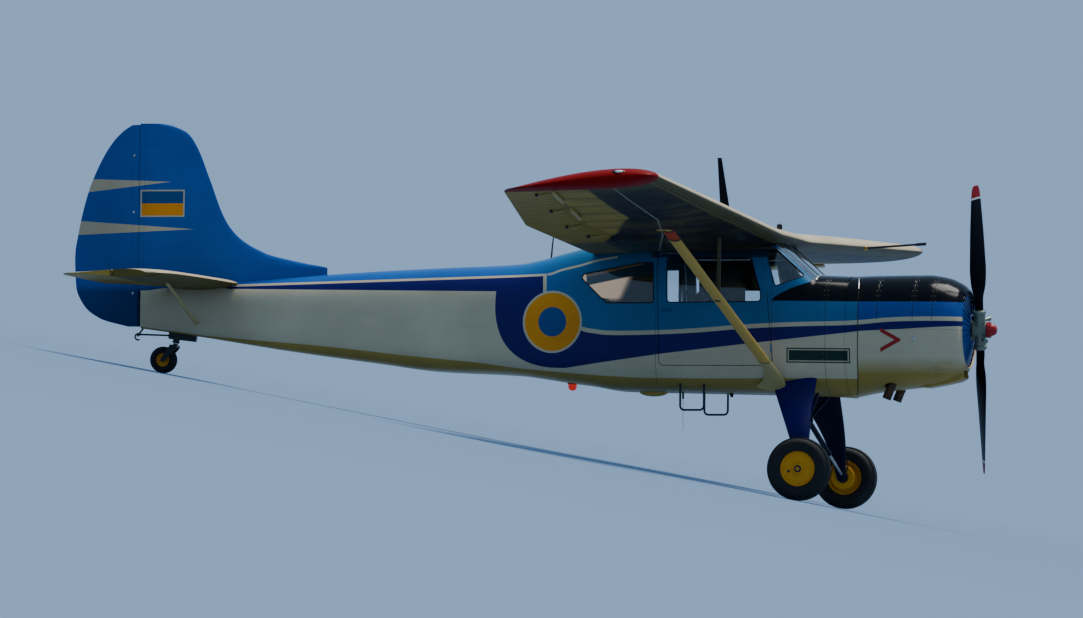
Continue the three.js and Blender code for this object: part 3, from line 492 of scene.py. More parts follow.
# Materials: a surface's numbers as node sockets that add and compare
class Field:
    def __init__(self, tree, socket):
        self.tree, self.socket = tree, socket

    def math(self, operation, *others, clamp=False):
        node = self.tree.nodes.new("ShaderNodeMath")
        node.operation = operation
        node.use_clamp = clamp
        for k, value in enumerate((self, *others)):
            if isinstance(value, Field):
                self.tree.links.new(value.socket, node.inputs[k])
            else:
                node.inputs[k].default_value = value
        return Field(self.tree, node.outputs[0])

    def __add__(self, other):
        return self.math("ADD", other)

    def __sub__(self, other):
        return self.math("SUBTRACT", other)

    def __mul__(self, other):
        return self.math("MULTIPLY", other)

    def __truediv__(self, other):
        return self.math("DIVIDE", other)

    def __pow__(self, other):
        return self.math("POWER", other)

    __radd__ = __add__
    __rmul__ = __mul__

    def __rsub__(self, other):
        return (self * -1.0) + other

    def __abs__(self):
        return self.math("ABSOLUTE")

    def most(self, other):
        return self.math("MAXIMUM", other)

    def over(self, other, soft=0.003):
        """1 where this is over the other number, 0 where it is under, and a slope between."""
        return ((self - other) / soft).math("ADD", 0.5, clamp=True)

    def under(self, other, soft=0.003):
        return 1.0 - self.over(other, soft)

    def within(self, low, high, soft=0.003):
        return self.over(low, soft) * self.under(high, soft)

    def near(self, other, half, soft=0.003):
        return abs(self - other).under(half, soft)

    def every(self, spacing, half, soft=0.003):
        """1 on lines that repeat at a spacing."""
        return self.math("PINGPONG", spacing / 2).under(half, soft)

    def along(self, points, smooth=False):
        """The height at this place of a line through (place, height) points."""
        places, heights = [p[0] for p in points], [p[1] for p in points]
        low, high = min(heights), max(heights)
        node = self.tree.nodes.new("ShaderNodeFloatCurve")
        curve = node.mapping.curves[0]
        for k, (place, height) in enumerate(sorted(points)):
            x = (place - min(places)) / (max(places) - min(places))
            y = (height - low) / (high - low)
            if k == 0:
                point = curve.points[0]
                point.location = (x, y)
            elif k == len(points) - 1:
                point = curve.points[-1]
                point.location = (x, y)
            else:
                point = curve.points.new(x, y)
            point.handle_type = "AUTO_CLAMPED" if smooth else "VECTOR"
        node.mapping.update()
        share = (self - min(places)) / (max(places) - min(places))
        self.tree.links.new(share.socket, node.inputs["Value"])
        return Field(self.tree, node.outputs[0]) * (high - low) + low


class Finish:
    """A material with the level frame's x, y and z at hand."""

    def __init__(self, name, **sockets):
        self.material = bpy.data.materials.new(name)
        self.material.use_nodes = True
        self.tree = self.material.node_tree
        self.shader = self.tree.nodes["Principled BSDF"]
        for label, value in sockets.items():
            self.shader.inputs[label.replace("_", " ")].default_value = value
        place = self.tree.nodes.new("ShaderNodeTexCoord")
        turn = self.tree.nodes.new("ShaderNodeMapping")
        turn.inputs["Rotation"].default_value = (0, PITCH, 0)
        turn.inputs["Location"].default_value = tuple(levelled((0, 0, 0)))
        self.tree.links.new(place.outputs["Object"], turn.inputs["Vector"])
        split = self.tree.nodes.new("ShaderNodeSeparateXYZ")
        self.tree.links.new(turn.outputs["Vector"], split.inputs[0])
        self.place = turn.outputs["Vector"]
        self.x, self.y, self.z = (Field(self.tree, s) for s in split.outputs)

    def noise(self, scale, detail=3, stretch=(1, 1, 1), roughness=0.5):
        """Noise from 0 to 1. Stretch makes it longer along an axis."""
        turn = self.tree.nodes.new("ShaderNodeMapping")
        turn.inputs["Scale"].default_value = tuple(1 / s for s in stretch)
        self.tree.links.new(self.place, turn.inputs["Vector"])
        node = self.tree.nodes.new("ShaderNodeTexNoise")
        node.inputs["Scale"].default_value = scale
        node.inputs["Detail"].default_value = detail
        node.inputs["Roughness"].default_value = roughness
        self.tree.links.new(turn.outputs["Vector"], node.inputs["Vector"])
        return Field(self.tree, node.outputs["Fac"])

    def blotches(self, scale, detail, level, gain, stretch=(1, 1, 1)):
        """Noise above a level, as a mask."""
        return (self.noise(scale, detail, stretch) - level).math("MULTIPLY", gain, clamp=True)

    def facing(self):
        """The x, y and z of the way that the surface faces."""
        normal = self.tree.nodes.new("ShaderNodeNewGeometry")
        split = self.tree.nodes.new("ShaderNodeSeparateXYZ")
        self.tree.links.new(normal.outputs["Normal"], split.inputs[0])
        return [Field(self.tree, s) for s in split.outputs]

    def mix(self, mask, under, over):
        """One colour painted over another where the mask is 1. Colours are tuples or sockets."""
        node = self.tree.nodes.new("ShaderNodeMix")
        node.data_type = "RGBA"
        self.tree.links.new(mask.socket, node.inputs["Factor"])
        for label, colour in (("A", under), ("B", over)):
            socket = [s for s in node.inputs if s.name == label and s.type == "RGBA"][0]
            if isinstance(colour, tuple):
                socket.default_value = (*colour, 1)
            else:
                self.tree.links.new(colour, socket)
        return [s for s in node.outputs if s.type == "RGBA"][0]

    def shaded(self, colour, share):
        """A colour made lighter or darker by a share."""
        node = self.tree.nodes.new("ShaderNodeVectorMath")
        node.operation = "SCALE"
        self.tree.links.new(colour, node.inputs[0])
        self.tree.links.new(share.socket, node.inputs["Scale"])
        return node.outputs["Vector"]

    def paint(self, colour):
        self.tree.links.new(colour, self.shader.inputs["Base Color"])

    def drive(self, label, field):
        """A field into one of the shader's own inputs."""
        self.tree.links.new(field.socket, self.shader.inputs[label])

    def rough(self, middle, spread, scale, detail=4, stretch=(1, 1, 1)):
        """Roughness that wanders about a middle, which may be a field."""
        self.drive("Roughness", (self.noise(scale, detail, stretch) - 0.5) * spread + middle)

    def bump(self, height):
        """Height is in metres."""
        node = self.tree.nodes.new("ShaderNodeBump")
        node.inputs["Distance"].default_value = 1.0
        node.inputs["Strength"].default_value = 1.0
        self.tree.links.new(height.socket, node.inputs["Height"])
        self.tree.links.new(node.outputs["Normal"], self.shader.inputs["Normal"])

    def seams(self, field, places, half=0.003):
        """1 on lines at named places."""
        mask = field.near(places[0], half)
        for place in places[1:]:
            mask = mask.most(field.near(place, half))
        return mask

    def rivets(self, across, along, places, spacing=0.05):
        """Rows of round heads beside each seam."""
        radius, beside = 0.0045, 0.018
        step = along.math("PINGPONG", spacing / 2)
        mask = None
        for place in places:
            off = abs(abs(across - place) - beside)
            dot = (off**2 + step**2).math("SQRT").under(radius, 0.002)
            mask = dot if mask is None else mask.most(dot)
        return mask


# Paint colours, linear
WHITE = (0.500, 0.410, 0.255)
# Painted highlight along the slat's rear edge
SLAT_EDGE_HIGHLIGHT = (0.560, 0.500, 0.360)
# Cream yellowed by painted bounce light, for the undersides of wings and tailplanes
UNDERSIDE_CREAM_BOUNCE = (0.380, 0.240, 0.040)
# Olive: painted ground bounce on undersides, and the colour of chips on the struts
OLIVE_BOUNCE_AND_CHIPS = (0.130, 0.095, 0.022)
# Painted shade on the belly, yellowed as by bounce light from the ground
BELLY_BOUNCE_SHADE = (0.300, 0.190, 0.026)
# Painted shade under the wing's front
SLATE_PAINTED_SHADE = (0.016, 0.013, 0.012)
CABIN_BLUE = (0.001, 0.105, 0.225)
COWL_BLUE = (0.001, 0.052, 0.230)
FIN_BLUE = (0.001, 0.078, 0.310)
NAVY = (0.003, 0.001, 0.085)
BLACK = (0.004, 0.005, 0.007)
YELLOW = (0.720, 0.237, 0.0015)
ROUNDEL_BLUE = (0.001, 0.058, 0.184)
RED = (0.190, 0.0020, 0.0020)
CHEVRON_RED = (0.320, 0.012, 0.012)
PLATE_GREEN = (0.006, 0.026, 0.018)
# Painted shadow of the wing on the cabin side
EAVE_SHADE = (0.001, 0.012, 0.020)
GRIME = (0.030, 0.024, 0.014)
BARE = (0.300, 0.300, 0.290)
THREAD = 0.0018  # half a thread of the seat cloth


def weathered(f, colour, depth=0.16):
    """Slight patches of fading and streaks along the airflow."""
    colour = f.shaded(colour, 1.0 + (f.noise(1.7, 4) - 0.5) * depth * 3.0)
    return f.mix(f.blotches(9.0, 3, 0.56, depth * 3.0, (7, 1, 1)), colour, GRIME)


PIN = ((-5.749, 2.067), (-2.530, 2.148))
PIN_WIDTH = 0.022
LINE_WIDTH = 0.041
BRANCH_UP = [
    (-2.525, 2.151), (-2.484, 2.158), (-2.405, 2.186), (-2.205, 2.232), (-2.011, 2.283),
    (-1.836, 2.313),
]
LOWER_LINE = [
    (-2.187, 1.637), (-2.056, 1.610), (-1.799, 1.592), (-1.392, 1.600), (-1.118, 1.613),
    (-0.544, 1.656), (-0.072, 1.678), (0.298, 1.690), (0.459, 1.698), (0.870, 1.729), (1.440, 1.737),
]
NAVY_FOOT = [
    (-2.340, 1.265), (-1.389, 1.398), (-0.602, 1.489), (-0.343, 1.518), (0.489, 1.618), (0.872, 1.636),
    (1.440, 1.670),
]
WEDGE = ((-5.723, 2.036), (-3.034, 1.993))
BULB = {"x": -2.339, "z": 1.940, "rx": 0.697, "rz": 0.675, "power": 2.6}
BRANCH = {"x": -2.564, "z": 1.984, "half": 0.162, "bow": 0.030}
BRANCH_LINE = ((1.974, -2.539), (2.147, -2.556))  # (height, x) of the pale line up the branch
# Where the wing's painted shadow falls on the cabin side above the door
EAVE = {"z": 2.306, "rear": -1.475, "front": -0.400}
# Height on the cowl below which the painted belly shade fades in
COWL_BELLY_Z = 1.300
COWL_SEAM_FOOT = 1.720
BLACK_EDGE = [
    (-0.355, 1.890), (-0.308, 1.937), (-0.262, 1.965), (-0.170, 2.013), (-0.082, 2.048),
    (-0.002, 2.080), (0.040, 2.200),
]
BLACK_FOOT = 1.896
ROUNDEL = {"x": -2.461, "z": 1.699, "white": 0.294, "yellow": 0.274, "blue": 0.139}
CHEVRON = {"tip": 0.855, "z": 1.534, "slope": 0.544, "rear": 0.681, "half": 0.020}
PLATE = {"x": 0.097, "z": 1.385, "half_x": 0.2935, "half_z": 0.070}
# Height of the chine along x; below it the fuselage gets the painted belly shade
CHINE = [
    (-6.625, 1.680), (-6.002, 1.594), (-5.506, 1.547), (-4.896, 1.496), (-4.492, 1.455),
    (-3.990, 1.396), (-3.590, 1.357), (-3.195, 1.318), (-2.826, 1.267), (-2.103, 1.201),
    (-1.613, 1.172), (-1.032, 1.167), (0.335, 1.172),
]
COWL_EDGE = (0.351, 0.300, -0.165)
BODY_SEAMS = (-1.450, -0.340, 0.160)
COWL_SEAMS = (0.642, 0.984, 1.168)
CONE_FRAMES = 0.62  # spacing


TAIL_HINGE_X = -6.400
# Shares of the wing's chord at places along the span: where the ribbed rear starts, and the slat's edge
RIBBED_FROM = [(0.66, 0.80), (1.70, 0.80), (2.50, 0.64), (3.80, 0.44), (4.70, 0.46), (6.30, 0.46)]
SLAT_LINE = [(0.66, 0.62), (0.83, 0.62), (2.20, 0.44), (3.50, 0.313), (5.20, 0.305), (6.30, 0.285)]


def cowl_edge(y):
    """Where the cowling ends behind: further forward down the sides than on top."""
    start, slope, bow = COWL_EDGE
    return abs(y) * slope + y**2 * bow + start


def straight(field, line):
    (x0, z0), (x1, z1) = line
    return (field - x0) * ((z1 - z0) / (x1 - x0)) + z0


def livery(name, on_cowl=False):
    """The fuselage's paint: blue over white, with a navy band, white lines, roundel and black top; with
    painted shade on the belly, yellowed as by ground bounce, and a painted wing shadow above the door.
    """
    f = Finish(name)
    x, z = f.x, f.z
    pin = straight(x, PIN)
    line = x.along(LOWER_LINE, smooth=True)
    bow = ((z - BRANCH["z"]) / BRANCH["half"]) ** 2 * BRANCH["bow"]
    forward = (x - BRANCH["x"] - bow).over(0.0, 0.002)
    top = forward * line + (1.0 - forward) * pin
    wide = abs((x - BULB["x"]) / BULB["rx"]) ** BULB["power"]
    high = abs((z - BULB["z"]) / BULB["rz"]) ** BULB["power"]
    in_bulb = (wide + high).under(1.0, 0.02).most(x.over(BULB["x"] - BULB["rx"]) * z.over(BULB["z"]))
    foot = x.along(NAVY_FOOT)
    aft = x.under(BULB["x"] - BULB["rx"] + 0.002)
    behind = x.under(BULB["x"])
    above_foot = aft * z.over(straight(x, WEDGE)) + (1.0 - aft) * (
        behind * in_bulb + (1.0 - behind) * z.over(foot)
    )
    upper = z.over(top)
    navy = (1.0 - upper) * above_foot * x.over(WEDGE[0][0] - 0.04, 0.05)
    past_edge = x - cowl_edge(f.y)
    blue = f.mix(past_edge.over(0.0, 0.002), f.mix(x.under(-2.7, 0.9), CABIN_BLUE, FIN_BLUE), COWL_BLUE)
    colour = f.mix(upper, WHITE, blue)
    colour = f.mix(navy, colour, NAVY)
    lines = (1.0 - forward) * z.near(pin, PIN_WIDTH / 2) * x.over(PIN[0][0] - 0.3)
    lines = lines.most(x.near(straight(z, BRANCH_LINE), 0.018) * z.within(1.970, 2.140))
    branch = z.near(x.along(BRANCH_UP, smooth=True), PIN_WIDTH / 2)
    lines = lines.most(branch * x.within(BRANCH_UP[0][0], BRANCH_UP[-1][0]))
    lines = lines.most(z.near(line, LINE_WIDTH / 2) * x.over(-2.2))
    colour = f.mix(lines, colour, WHITE)
    black = z.over(BLACK_FOOT) * x.over(BLACK_EDGE[0][0])
    black = black * z.under(x.along(BLACK_EDGE)).most(x.over(BODY_CORNERS[0]))
    colour = f.mix(black, colour, BLACK)
    radius = ((x - ROUNDEL["x"]) ** 2 + (z - ROUNDEL["z"]) ** 2).math("SQRT")
    for ring, paint in (("white", WHITE), ("yellow", YELLOW), ("blue", ROUNDEL_BLUE)):
        colour = f.mix(radius.under(ROUNDEL[ring]), colour, paint)
    if on_cowl:
        arm = abs(abs(z - CHEVRON["z"]) - (CHEVRON["tip"] - x) * CHEVRON["slope"]).under(CHEVRON["half"])
        colour = f.mix(arm * x.within(CHEVRON["rear"], CHEVRON["tip"] + 0.02), colour, CHEVRON_RED)
    plate = abs(x - PLATE["x"]) - PLATE["half_x"]
    plate = plate.most(abs(z - PLATE["z"]) - PLATE["half_z"])
    colour = f.mix(plate.under(0.0), colour, PLATE_GREEN)
    colour = f.mix(plate.within(-0.022, -0.012), colour, WHITE)
    if on_cowl:
        # Painted belly shade: below a height on the cowl, and below the chine ahead of the cowl's edge
        behind_edge = z.under(CHINE[-1][1], 0.006) * past_edge.under(0.0)
        belly = z.under(COWL_BELLY_Z, 0.16) * past_edge.over(0.0) + behind_edge
        seam = f.seams(x, COWL_SEAMS, 0.003) * z.over(COWL_SEAM_FOOT)
        rivet = f.rivets(x, z, COWL_SEAMS) * z.over(COWL_SEAM_FOOT)
    else:
        # Painted belly shade below the chine
        belly = z.under(x.along(CHINE), 0.006)
        # Painted shadow of the wing on the cabin side above the door window
        eave_shadow = z.over(EAVE["z"], 0.004) * x.within(EAVE["rear"], EAVE["front"], 0.01)
        colour = f.mix(eave_shadow * 0.8, colour, EAVE_SHADE)
        seam = f.seams(x, BODY_SEAMS, 0.002)
        rivet = f.rivets(x, z, BODY_SEAMS)
    colour = f.mix(belly * 0.9, colour, BELLY_BOUNCE_SHADE)
    colour = weathered(f, colour)
    frames = x.under(CABIN_REAR_X) * x.every(CONE_FRAMES, 0.012, 0.01) * 0.0004
    colour = f.mix(seam * 0.75, colour, GRIME)
    # Dark line along the cowling's rear edge: the joint, darkened further as painted shadow in the gap
    colour = f.mix(abs(past_edge).under(0.006) * 0.8, colour, GRIME)
    colour = f.mix(rivet * 0.25, colour, BARE)
    f.paint(colour)
    f.drive("Specular IOR Level", 0.16 - black * 0.11 - belly * 0.13)
    f.rough(0.3 - black * 0.14, 0.16, 14)
    f.bump(rivet * 0.0006 - seam * 0.0012 + frames + (f.noise(2.2, 2) - 0.5) * 0.0010)
    return f.material


SPIKES = [
    # tip, upper rear corner, lower rear corner
    ((-6.331, 3.065), (-7.100, 3.095), (-7.158, 2.970)),
    ((-6.099, 2.610), (-7.223, 2.693), (-7.251, 2.560)),
]
BANDS = {"x": -6.420, "z": 2.859, "half_x": 0.219, "half_z": 0.130, "frame": 0.014}
RED_FROM_Y = 6.115


def tail_paint(name):
    """Blue with two pale spikes and a framed panel of two bands, with painted shade towards the rudder's rear
    and under the tailplane.
    """
    f = Finish(name, Specular_IOR_Level=0.12)
    x, z = f.x, f.z
    spikes = None
    for tip, up, down in SPIKES:
        mask = z.under(straight(x, (tip, up))) * z.over(straight(x, (tip, down))) * x.under(tip[0])
        spikes = mask if spikes is None else spikes.most(mask)
    colour = f.mix(spikes, FIN_BLUE, WHITE)
    panel = (abs(x - BANDS["x"]) - BANDS["half_x"]).most(abs(z - BANDS["z"]) - BANDS["half_z"])
    colour = f.mix(panel.under(0.0), colour, WHITE)
    inside = panel.under(-BANDS["frame"])
    colour = f.mix(inside, colour, ROUNDEL_BLUE)
    colour = f.mix(inside * z.under(BANDS["z"]), colour, YELLOW)
    # Painted shade: darker towards the rudder's rear, and much darker under the tailplane as its painted
    # shadow
    shade = x.under(-6.70, 0.5) * 0.25
    shade = shade.most(z.under(2.07, 0.10) * x.under(-5.65, 0.1) * 0.72)
    colour = f.mix(shade, colour, (0.001, 0.012, 0.040))
    colour = weathered(f, colour, 0.12)
    ribs = z.every(0.31, 0.010, 0.012)
    edge = f.seams(x, (-6.60, -6.72), 0.002)
    colour = f.mix(edge * 0.4, colour, GRIME)
    f.paint(colour)
    f.rough(0.3, 0.15, 14)
    f.bump(ribs * 0.0007 - edge * 0.0006 + (f.noise(2.0, 2) - 0.5) * 0.0008)
    return f.material


def wing_paint(name, ribs_at=0.30, ribbed=0.0006, on_wing=True):
    """Off-white above; on faces turned down, painted light from below: olive ground bounce and slate shade
    ahead of a ribbed rear in yellowed cream and olive; a painted highlight along the slat's edge; red tips.
    """
    f = Finish(name, Specular_IOR_Level=0.04)
    x, y = f.x, abs(f.y)
    up = f.facing()[2]
    # Faces turned down get painted light from below: olive and cream as ground bounce, slate as shade
    below = up.under(0.14, 0.06)
    ribs = y.every(ribs_at, 0.014, 0.014)
    if on_wing:
        chord = (y - KINK_Y).most(0.0) * ((TIP_CHORD - CHORD) / (TIP_Y - KINK_Y)) + CHORD
        share = (WING_LEAD[0] - x) / chord
        front = y.along(RIBBED_FROM)
        # Painted olive bounce along the leading band, painted slate shade behind it
        under = f.mix(share.under(0.055, 0.012), SLATE_PAINTED_SHADE, OLIVE_BOUNCE_AND_CHIPS)
        # A painted highlight along the slat's rear edge
        under = f.mix(share.near(y.along(SLAT_LINE), 0.005, 0.004) * 0.4, under, SLAT_EDGE_HIGHLIGHT)
        rear = share.over(front, 0.02)
        # Ribbed rear in painted yellowed cream, every other bay more olive as painted shading
        bay = f.mix(y.every(ribs_at * 2, ribs_at / 2, 0.02) * 0.35, UNDERSIDE_CREAM_BOUNCE, OLIVE_BOUNCE_AND_CHIPS)
        under = f.mix(rear, under, bay)
        # Painted patches of olive bounce light ahead of the ribbed rear
        patch = f.noise(2.1, 5, (3, 1, 1)).over(0.54, 0.06) * (1 - rear)
        under = f.mix(patch * 0.35, under, OLIVE_BOUNCE_AND_CHIPS)
        # Painted reflection of the blue fuselage on the underside near the root
        under = f.mix(share.over(0.62, 0.2) * y.under(1.7, 0.3) * 0.6, under, (0.020, 0.060, 0.070))
    else:
        rear = below
        # Tailplanes: painted olive bounce ahead of the hinge, yellowed cream behind
        under = f.mix(x.under(TAIL_HINGE_X, 0.01), OLIVE_BOUNCE_AND_CHIPS, UNDERSIDE_CREAM_BOUNCE)
    # Painted olive bounce in blotches over the whole underside
    under = f.mix(f.blotches(1.3, 5, 0.50, 1.2, (1, 2, 1)), under, OLIVE_BOUNCE_AND_CHIPS)
    colour = f.mix(below, WHITE, under)
    if on_wing:
        # The nose's lower half in a darker olive, painted bounce light from the ground
        nose = share.under(0.045, 0.01) * up.under(0.25, 0.3)
        colour = f.mix(nose, colour, (0.085, 0.066, 0.024))
    # Darker lines along the ribs of the ribbed rear, as painted rib shading
    colour = f.mix(ribs * rear * 0.55, colour, GRIME)
    rivet = f.rivets(y, x, (0.69, 3.40, 6.10), 0.045)
    colour = f.mix(rivet * 0.3, colour, BARE)
    if on_wing:
        colour = f.mix(y.over(RED_FROM_Y), colour, RED)
    colour = weathered(f, colour, 0.14)
    f.paint(colour)
    f.rough(0.42, 0.16, 11)
    f.bump(ribs * ribbed + rivet * 0.0006 + (f.noise(2.5, 2) - 0.5) * 0.0004)
    return f.material


def enamel(name, colour, wear=0.1, roughness=0.32, metal=0.0, chip=BARE):
    """One paint with blotches of grime and small chips."""
    f = Finish(name, Metallic=metal, Specular_IOR_Level=0.35 if metal else 0.12)
    chips = f.noise(60, 6, roughness=0.7).over(0.72, 0.02)
    body = f.mix(f.blotches(3.5, 4, 0.42, wear * 2.5), colour, GRIME)
    f.paint(f.mix(chips * wear * 3.0, body, chip))
    f.rough(roughness, 0.2, 25)
    f.bump(f.noise(160, 3) * 0.00012)
    return f.material


def leg_paint(name):
    """Navy outside and nearly black inside as painted shade, with road dirt."""
    f = Finish(name, Specular_IOR_Level=0.12)
    outward = f.facing()[1] * f.y
    # Faces turned inwards are painted nearly black as shade
    colour = f.mix(outward.under(0.0, 0.05), (0.0016, 0.0003, 0.076), (0.0012, 0.0006, 0.016))
    f.paint(f.mix(f.blotches(4, 4, 0.5, 0.8), colour, GRIME))
    f.rough(0.5, 0.2, 25)
    f.bump(f.noise(120, 3) * 0.0001)
    return f.material


def bare_metal(name, colour, roughness=0.35, heat=False):
    """Worn metal, brushed and stained."""
    f = Finish(name, Metallic=0.9)
    shade = f.mix(f.blotches(8, 5, 0.4, 1.6), colour, tuple(c * 0.35 for c in colour))
    if heat:
        shade = f.mix(f.blotches(16, 4, 0.45, 2.5), shade, (0.16, 0.075, 0.03))
    f.paint(shade)
    f.rough(roughness, 0.3, 45, 4, (1, 8, 1))
    f.bump(f.noise(220, 3) * 0.0001)
    return f.material


def rubber(name):
    """Tyre rubber with dust on it."""
    f = Finish(name)
    f.paint(f.mix(f.blotches(7, 5, 0.42, 1.6), (0.0016, 0.0012, 0.0014), (0.010, 0.008, 0.006)))
    f.rough(0.8, 0.2, 40, 3)
    f.bump(f.noise(260, 3) * 0.0003)
    return f.material


def clear(name):
    """Acrylic panes: see-through, faintly tinted and scratched."""
    f = Finish(name, IOR=1.49, Transmission_Weight=1.0, Specular_IOR_Level=0.15)
    tint = (0.90, 0.95, 0.96)
    f.paint(f.mix(f.blotches(3, 4, 0.4, 0.9), tint, tuple(c * 0.9 for c in tint)))
    f.rough(0.01, 0.02, 90, 5, (8, 1, 1))
    return f.material


def cloth(name, colour, dark):
    """Woven seat cover."""
    f = Finish(name, Sheen_Weight=0.3)
    warp, weft = (field.math("PINGPONG", THREAD) / THREAD for field in (f.y, f.z))
    weave = (warp * weft).math("SQRT")
    f.paint(f.mix(f.blotches(6, 4, 0.45, 1.1), f.mix(weave * 0.35, dark, colour), dark))
    f.rough(0.82, 0.2, 30, 3)
    f.bump(weave * 0.0004 + f.noise(24, 3) * 0.001)
    return f.material


def blind(name):
    """A sun blind's cloth: beige at its rear, made to glow there as painted sunlight shining through, dark
    brown elsewhere.
    """
    f = Finish(name)
    thread = f.z.every(0.006, 0.0015, 0.001)
    lit = (f.x - f.z * 0.45 + 2.955).under(0.0, 0.07) * f.z.over(1.965, 0.05)
    shade = f.mix(lit * (f.noise(2.5, 3) * 0.5 + 0.72), (0.022, 0.017, 0.016), (0.62, 0.47, 0.34))
    shade = f.mix(thread * 0.2, shade, GRIME)
    f.paint(shade)
    # Painted light: the beige part glows as if sunlit from behind
    f.tree.links.new(shade, f.shader.inputs["Emission Color"])
    f.drive("Emission Strength", lit * 0.62)
    f.rough(0.85, 0.2, 30, 3)
    f.bump(thread * 0.0004 + f.noise(9, 3) * 0.002)
    return f.material


def propeller_paint(name):
    """Black blades with a white line and a red end."""
    f = Finish(name, Specular_IOR_Level=0.05)
    radius = (f.y**2 + (f.z - THRUST_Z) ** 2).math("SQRT")
    shade = f.mix(f.blotches(9, 4, 0.5, 1.2, (1, 1, 4)), (0.0012, 0.0010, 0.0030), (0.004, 0.004, 0.007))
    shade = f.mix(radius.over(1.245), shade, (0.62, 0.62, 0.60))
    f.paint(f.mix(radius.over(1.262), shade, (0.30, 0.010, 0.016)))
    f.rough(0.34, 0.2, 30)
    f.bump(f.noise(90, 3) * 0.0002)
    return f.material


FUSELAGE = livery("fuselage_paint")
COWLING = livery("cowling_paint", on_cowl=True)
TAIL_BLUE = tail_paint("tail_paint")
WING = wing_paint("wing_paint")
RIBBED = wing_paint("ribbed_panel_paint", 0.105, 0.0012)
TAIL_CREAM = wing_paint("tailplane_paint", 0.25, 0.0006, on_wing=False)
TAIL_RIBBED = wing_paint("elevator_paint", 0.105, 0.0010, on_wing=False)
STRUT_PAINT = enamel("strut_paint", (0.560, 0.330, 0.065), 0.08, chip=OLIVE_BOUNCE_AND_CHIPS)
CUFF_PAINT = enamel("cuff_paint", (0.440, 0.330, 0.120), 0.08, chip=OLIVE_BOUNCE_AND_CHIPS)
FAIRING_PAINT = enamel("fairing_paint", (0.300, 0.220, 0.070), 0.1, chip=OLIVE_BOUNCE_AND_CHIPS)
LAMP_WHITE = enamel("lamp_white", (0.75, 0.73, 0.68), 0.05, 0.2)
HANDLE_BLUE = enamel("handle_blue", CABIN_BLUE, 0.05)
JURY_PAINT = enamel("jury_paint", (0.080, 0.070, 0.030), 0.08, chip=OLIVE_BOUNCE_AND_CHIPS)
GEAR_PAINT = leg_paint("gear_paint")
TRUSS_PAINT = enamel("truss_paint", (0.002, 0.002, 0.014), 0.06, 0.5)
BOLT_PAINT = enamel("bolt_paint", (0.52, 0.25, 0.030), 0.2, 0.5)
HUB_PAINT = enamel("hub_paint", (0.66, 0.27, 0.006), 0.10, 0.45)
SHUTTER_PAINT = enamel("shutter_paint", (0.002, 0.036, 0.150), 0.12)
DARK_METAL = enamel("dark_metal", (0.016, 0.017, 0.019), 0.12, 0.4, 0.3)
STEEL = bare_metal("steel", (0.50, 0.50, 0.49))
EXHAUST_METAL = bare_metal("exhaust_metal", (0.060, 0.040, 0.026), 0.55, heat=True)
ENGINE_METAL = bare_metal("engine_metal", (0.16, 0.17, 0.17), 0.5)
PROP_HUB = enamel("prop_hub_metal", (0.17, 0.20, 0.15), 0.2, 0.4, 0.4)
DOME_RED = enamel("dome_red", (0.34, 0.020, 0.022), 0.15, 0.3)
SIGNAL_RED = enamel("signal_red", (0.42, 0.05, 0.012), 0.2, 0.4)
RUBBER = rubber("tyre_rubber")
GLASS = clear("glazing")
PROP_PAINT = propeller_paint("propeller_paint")
LINING = enamel("cabin_lining", (0.034, 0.026, 0.018), 0.1, 0.7)
BLIND_CLOTH = blind("blind_cloth")
STEP_PAINT = enamel("step_paint", (0.004, 0.022, 0.026), 0.1, 0.4)
PANEL_BLACK = enamel("panel_black", (0.018, 0.018, 0.020), 0.08, 0.55)
SEAT_CLOTH = cloth("seat_cloth", (0.090, 0.066, 0.044), (0.040, 0.030, 0.022))
SEAL = enamel("seal_rubber", (0.012, 0.014, 0.016), 0.05, 0.7)
MAST_PAINT = enamel("mast_paint", (0.0012, 0.0016, 0.006), 0.0, 0.6)


# The camera: where the photograph was taken from, off the right side, a little ahead and below
LOOK_AT = (-2.6, 0.0, 1.8)
CAMERA = {"distance": 120.0, "azimuth": 12.821, "elevation": -2.80, "roll": 0.641}
PIXELS_PER_METRE = 105.42  # at the look-at point
IMAGE_WIDTH = 1083
AIM_SHIFT = (10.70, -5.33)  # pixels from the image's middle to the look-at point, right and up
SENSOR = 36.0


def make_camera():
    azimuth, elevation = math.radians(CAMERA["azimuth"]), math.radians(CAMERA["elevation"])
    flat = math.cos(elevation)
    back = Vector((math.sin(azimuth) * flat, -math.cos(azimuth) * flat, math.sin(elevation)))
    focal = PIXELS_PER_METRE * CAMERA["distance"]
    place = Vector(LOOK_AT) + back * CAMERA["distance"]
    right = Vector((0, 0, 1)).cross(back).normalized()
    up = back.cross(right)
    spin = Matrix.Rotation(math.radians(CAMERA["roll"]), 3, back)
    right, up = spin @ right, spin @ up
    # The look-at point falls off the middle, so the axis is turned the other way.
    aim = (-back - right * (AIM_SHIFT[0] / focal) - up * (AIM_SHIFT[1] / focal)).normalized()
    back = -aim
    right = up.cross(back).normalized()
    up = back.cross(right)
    level = Matrix((right, up, back)).transposed()
    row = Matrix(TO_ROW.tolist()) @ level
    data = bpy.data.cameras.new("camera")
    data.sensor_width = SENSOR
    data.lens = focal / IMAGE_WIDTH * SENSOR
    data.clip_end = 1000
    camera = bpy.data.objects.new("camera", data)
    camera.matrix_world = Matrix.Translation(Vector(placed(place))) @ row.to_4x4()
    bpy.context.scene.collection.objects.link(camera)
    bpy.context.scene.camera = camera


# Floor and light
FLOOR_R = 60.0
FLOOR_FADE = (26.0, 58.0)
SKY = (0.27, 0.43, 0.68)  # light from all round
KEY = 5.0  # light from overhead, in watts a square metre
KEY_COLOUR = (1.0, 0.96, 0.88)
KEY_FROM = (0.10, 0.34, 1.0)
KEY_SPREAD = math.radians(30)


